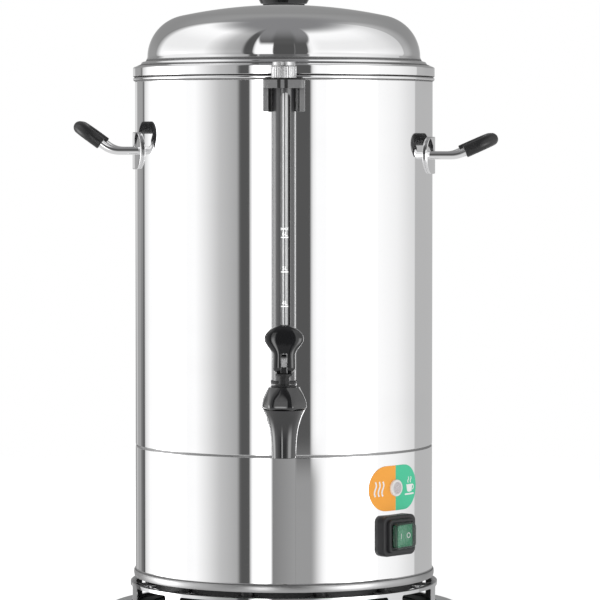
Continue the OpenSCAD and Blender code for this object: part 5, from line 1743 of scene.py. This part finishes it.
def studio_walls(g, bearing, z):
    """Colour of the studio round the urn: the bands, and what differs from them at some heights."""
    away = abs(bearing)
    stops = [(place / 360 + 0.5, grey(linear(shade) * BAND_GAIN)) for place, shade in STUDIO_BANDS]
    walls = g.node("ShaderNodeValToRGB", {"stops": stops}, {0: bearing / 360.0 + 0.5})
    # The wall behind the urn is grey above the horizon, and paler in its middle
    behind = g.ease(away, 126.0, 142.0) * g.ease(z, 0.012, 0.04)
    pale = g.ease(away, 158.0, 172.0) * g.ease(z, 0.16, 0.05)
    walls = g.mix(behind, walls, g.mix(pale, grey(0.33), grey(0.5)))
    # The gap in front is dark above the horizon
    facing = g.ease(away, 9.4, 8.6) * g.ease(z, 0.0, 0.04)
    walls = g.mix(facing, walls, grey(0.085))
    # The gap beside it is paler near the table
    beside = g.ease(bearing, 8.6, 9.2) * g.ease(bearing, 33.0, 19.0) * g.ease(z, -0.085, -0.098)
    walls = g.mix(beside, walls, grey(0.34))
    # Two dark edges at the left grow darker toward the table
    line = g.ease(bearing, -136.0, -139.0) * g.ease(bearing, -149.0, -144.0)
    edge = (line + g.ease(bearing, -158.0, -164.0)) * g.ease(z, 0.03, -0.1)
    walls = g.mix(edge * 0.55, walls, grey(0.0))
    # A faint veil lies on the upper half of the soft boxes
    veil = g.ease(z, 0.06, 0.3) * g.ease(z, 0.8, 0.45) * g.ease(away, 20.0, 34.0)
    return g.mix(veil * 0.14, walls, grey(0.0))


def studio_world():
    """White to the camera. To everything else, a ring of soft boxes and gaps that fades to a grey ceiling
    above and to a pale table below. In reflections the cores of the soft boxes are brighter than white."""
    world = bpy.data.worlds.new("studio")
    world.use_nodes = True
    g = Graph(world.node_tree)
    x, y, z = g.axes(g.node("ShaderNodeTexCoord", out=0))
    bearing = g.math("ARCTAN2", x, y * -1.0) * float(180 / np.pi)
    away = abs(bearing)
    top = g.ease(z - g.ease(away, 20.0, 30.0) * 0.4, 0.39, 0.57)
    height = g.mix(g.ease(away, 14.0, 8.0), g.ease(z, 0.42, 0.9), g.ease(z, 0.6, 1.0))
    ceiling = g.mix(height, grey(0.1), (0.25, 0.25, 0.255))
    room = g.mix(top, studio_walls(g, bearing, z), ceiling)
    room = g.mix(g.ease(z, -0.18, -0.5), room, grey(0.72))
    cores = 0.0
    for start, end, soft in SOFT_BOXES:
        cores = g.ease(bearing, start, start + soft) * g.ease(bearing, end, end - soft) + cores
    cores = cores * g.ease(z, 0.14, 0.04) * g.ease(z, -0.6, -0.25)
    shine = 1.0 + g.ray("Glossy") * cores * (BOX_GAIN - 1)
    seen = g.mix(g.ray("Camera"), room, grey(1.0))
    g.output(g.node("ShaderNodeBackground", links={0: seen, 1: shine}), "World")
    return world


def table_finish(g):
    """White table: half lit by itself, so that it stays white and still takes a shadow. It fades out far from
    the urn, and mirrors see through it."""
    far = g.ease(g.radius(), 0.7, 1.5)
    matt = g.node("ShaderNodeBsdfDiffuse", links={0: grey(0.9)})
    bright = g.node("ShaderNodeEmission", links={0: grey(1.0), 1: 1.5})
    top = g.node("ShaderNodeMixShader", links={0: TABLE_GLOW, 1: matt, 2: bright})
    clear = g.node("ShaderNodeBsdfTransparent")
    g.output(g.node("ShaderNodeMixShader", links={0: g.most(far, g.ray("Glossy")), 1: top, 2: clear}))


class URN_OT_studio(bpy.types.Operator):
    """Table, soft light and the camera at the picture's viewing angle"""

    bl_idname = "urn.studio"
    bl_label = "Studio"

    def execute(self, context):
        scene = context.scene
        scene.view_settings.view_transform = "Standard"
        scene.world = studio_world()
        self.table(scene)
        self.lamp(scene)
        self.camera(scene)
        return {"FINISHED"}

    def table(self, scene):
        """A round table top: rings of growing radius about the urn's axis."""
        mesh = grid_mesh("table", [lathe([(r, TABLE_Z) for r in TABLE_RINGS])])
        mesh.materials.append(material("table", table_finish))
        top = bpy.data.objects.new("table", mesh)
        scene.collection.objects.link(top)

    def lamp(self, scene):
        """A wide soft lamp above and in front, which mirrors don't show."""
        light = bpy.data.lights.new("key", "AREA")
        light.size = KEY_SIZE
        light.energy = scene.urn_studio.key
        made = bpy.data.objects.new("key", light)
        made.location = KEY_AT
        made.rotation_euler = (np.radians(KEY_TILT), 0, np.radians(KEY_TURN))
        made.visible_glossy = False
        scene.collection.objects.link(made)

    def camera(self, scene):
        """A camera on its bearing and height, turned so that axis and horizon fall where they are given."""
        setup = scene.urn_studio
        bearing = np.radians(setup.bearing)
        right = np.arctan((IMAGE_PX / 2 - setup.axis_px) / setup.focal_px)
        down = np.arctan((IMAGE_PX / 2 - setup.horizon_px) / setup.focal_px)
        lens = bpy.data.cameras.new("camera")
        lens.sensor_width = SENSOR_MM
        lens.lens = setup.focal_px * SENSOR_MM / IMAGE_PX
        lens.clip_end = 100
        made = bpy.data.objects.new("camera", lens)
        made.location = (setup.distance * np.sin(bearing), -setup.distance * np.cos(bearing), setup.height)
        made.rotation_euler = (np.pi / 2 - down, 0, bearing - right)
        scene.collection.objects.link(made)
        scene.camera = made


PIECES = (
    URN_OT_studio,
    URN_OT_tank,
    URN_OT_housing,
    URN_OT_lid,
    URN_OT_base,
    URN_OT_handles,
    URN_OT_tap,
    URN_OT_gauge,
    URN_OT_switch,
    URN_OT_lamp,
    URN_OT_fittings,
)


class URN_PT_panel(bpy.types.Panel):
    """Sidebar list of the urn's pieces and settings"""

    bl_idname = "URN_PT_panel"
    bl_label = "Coffee urn"
    bl_space_type = "VIEW_3D"
    bl_region_type = "UI"
    bl_category = "Urn"

    def draw(self, context):
        for group in (context.scene.urn_sizes, context.scene.urn_colours, context.scene.urn_studio):
            box = self.layout.box()
            for name in group.__annotations__:
                box.prop(group, name)
        for operator in PIECES:
            self.layout.operator(operator.bl_idname)


GROUPS = (("urn_sizes", UrnSizes), ("urn_colours", UrnColours), ("urn_studio", UrnStudio))


def register():
    """Registers the settings, the operators and the panel."""
    for name, group in GROUPS:
        bpy.utils.register_class(group)
        setattr(bpy.types.Scene, name, PointerProperty(type=group))
    for made in (*PIECES, URN_PT_panel):
        bpy.utils.register_class(made)


def unregister():
    """Takes away what register adds, in the opposite order."""
    for made in (URN_PT_panel, *reversed(PIECES)):
        bpy.utils.unregister_class(made)
    for name, group in reversed(GROUPS):
        delattr(bpy.types.Scene, name)
        bpy.utils.unregister_class(group)


def main():
    """Registers the classes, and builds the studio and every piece."""
    register()
    for operator in PIECES:
        group, name = operator.bl_idname.split(".")
        getattr(getattr(bpy.ops, group), name)()
    bpy.context.view_layer.update()


if __name__ == "__main__":
    main()
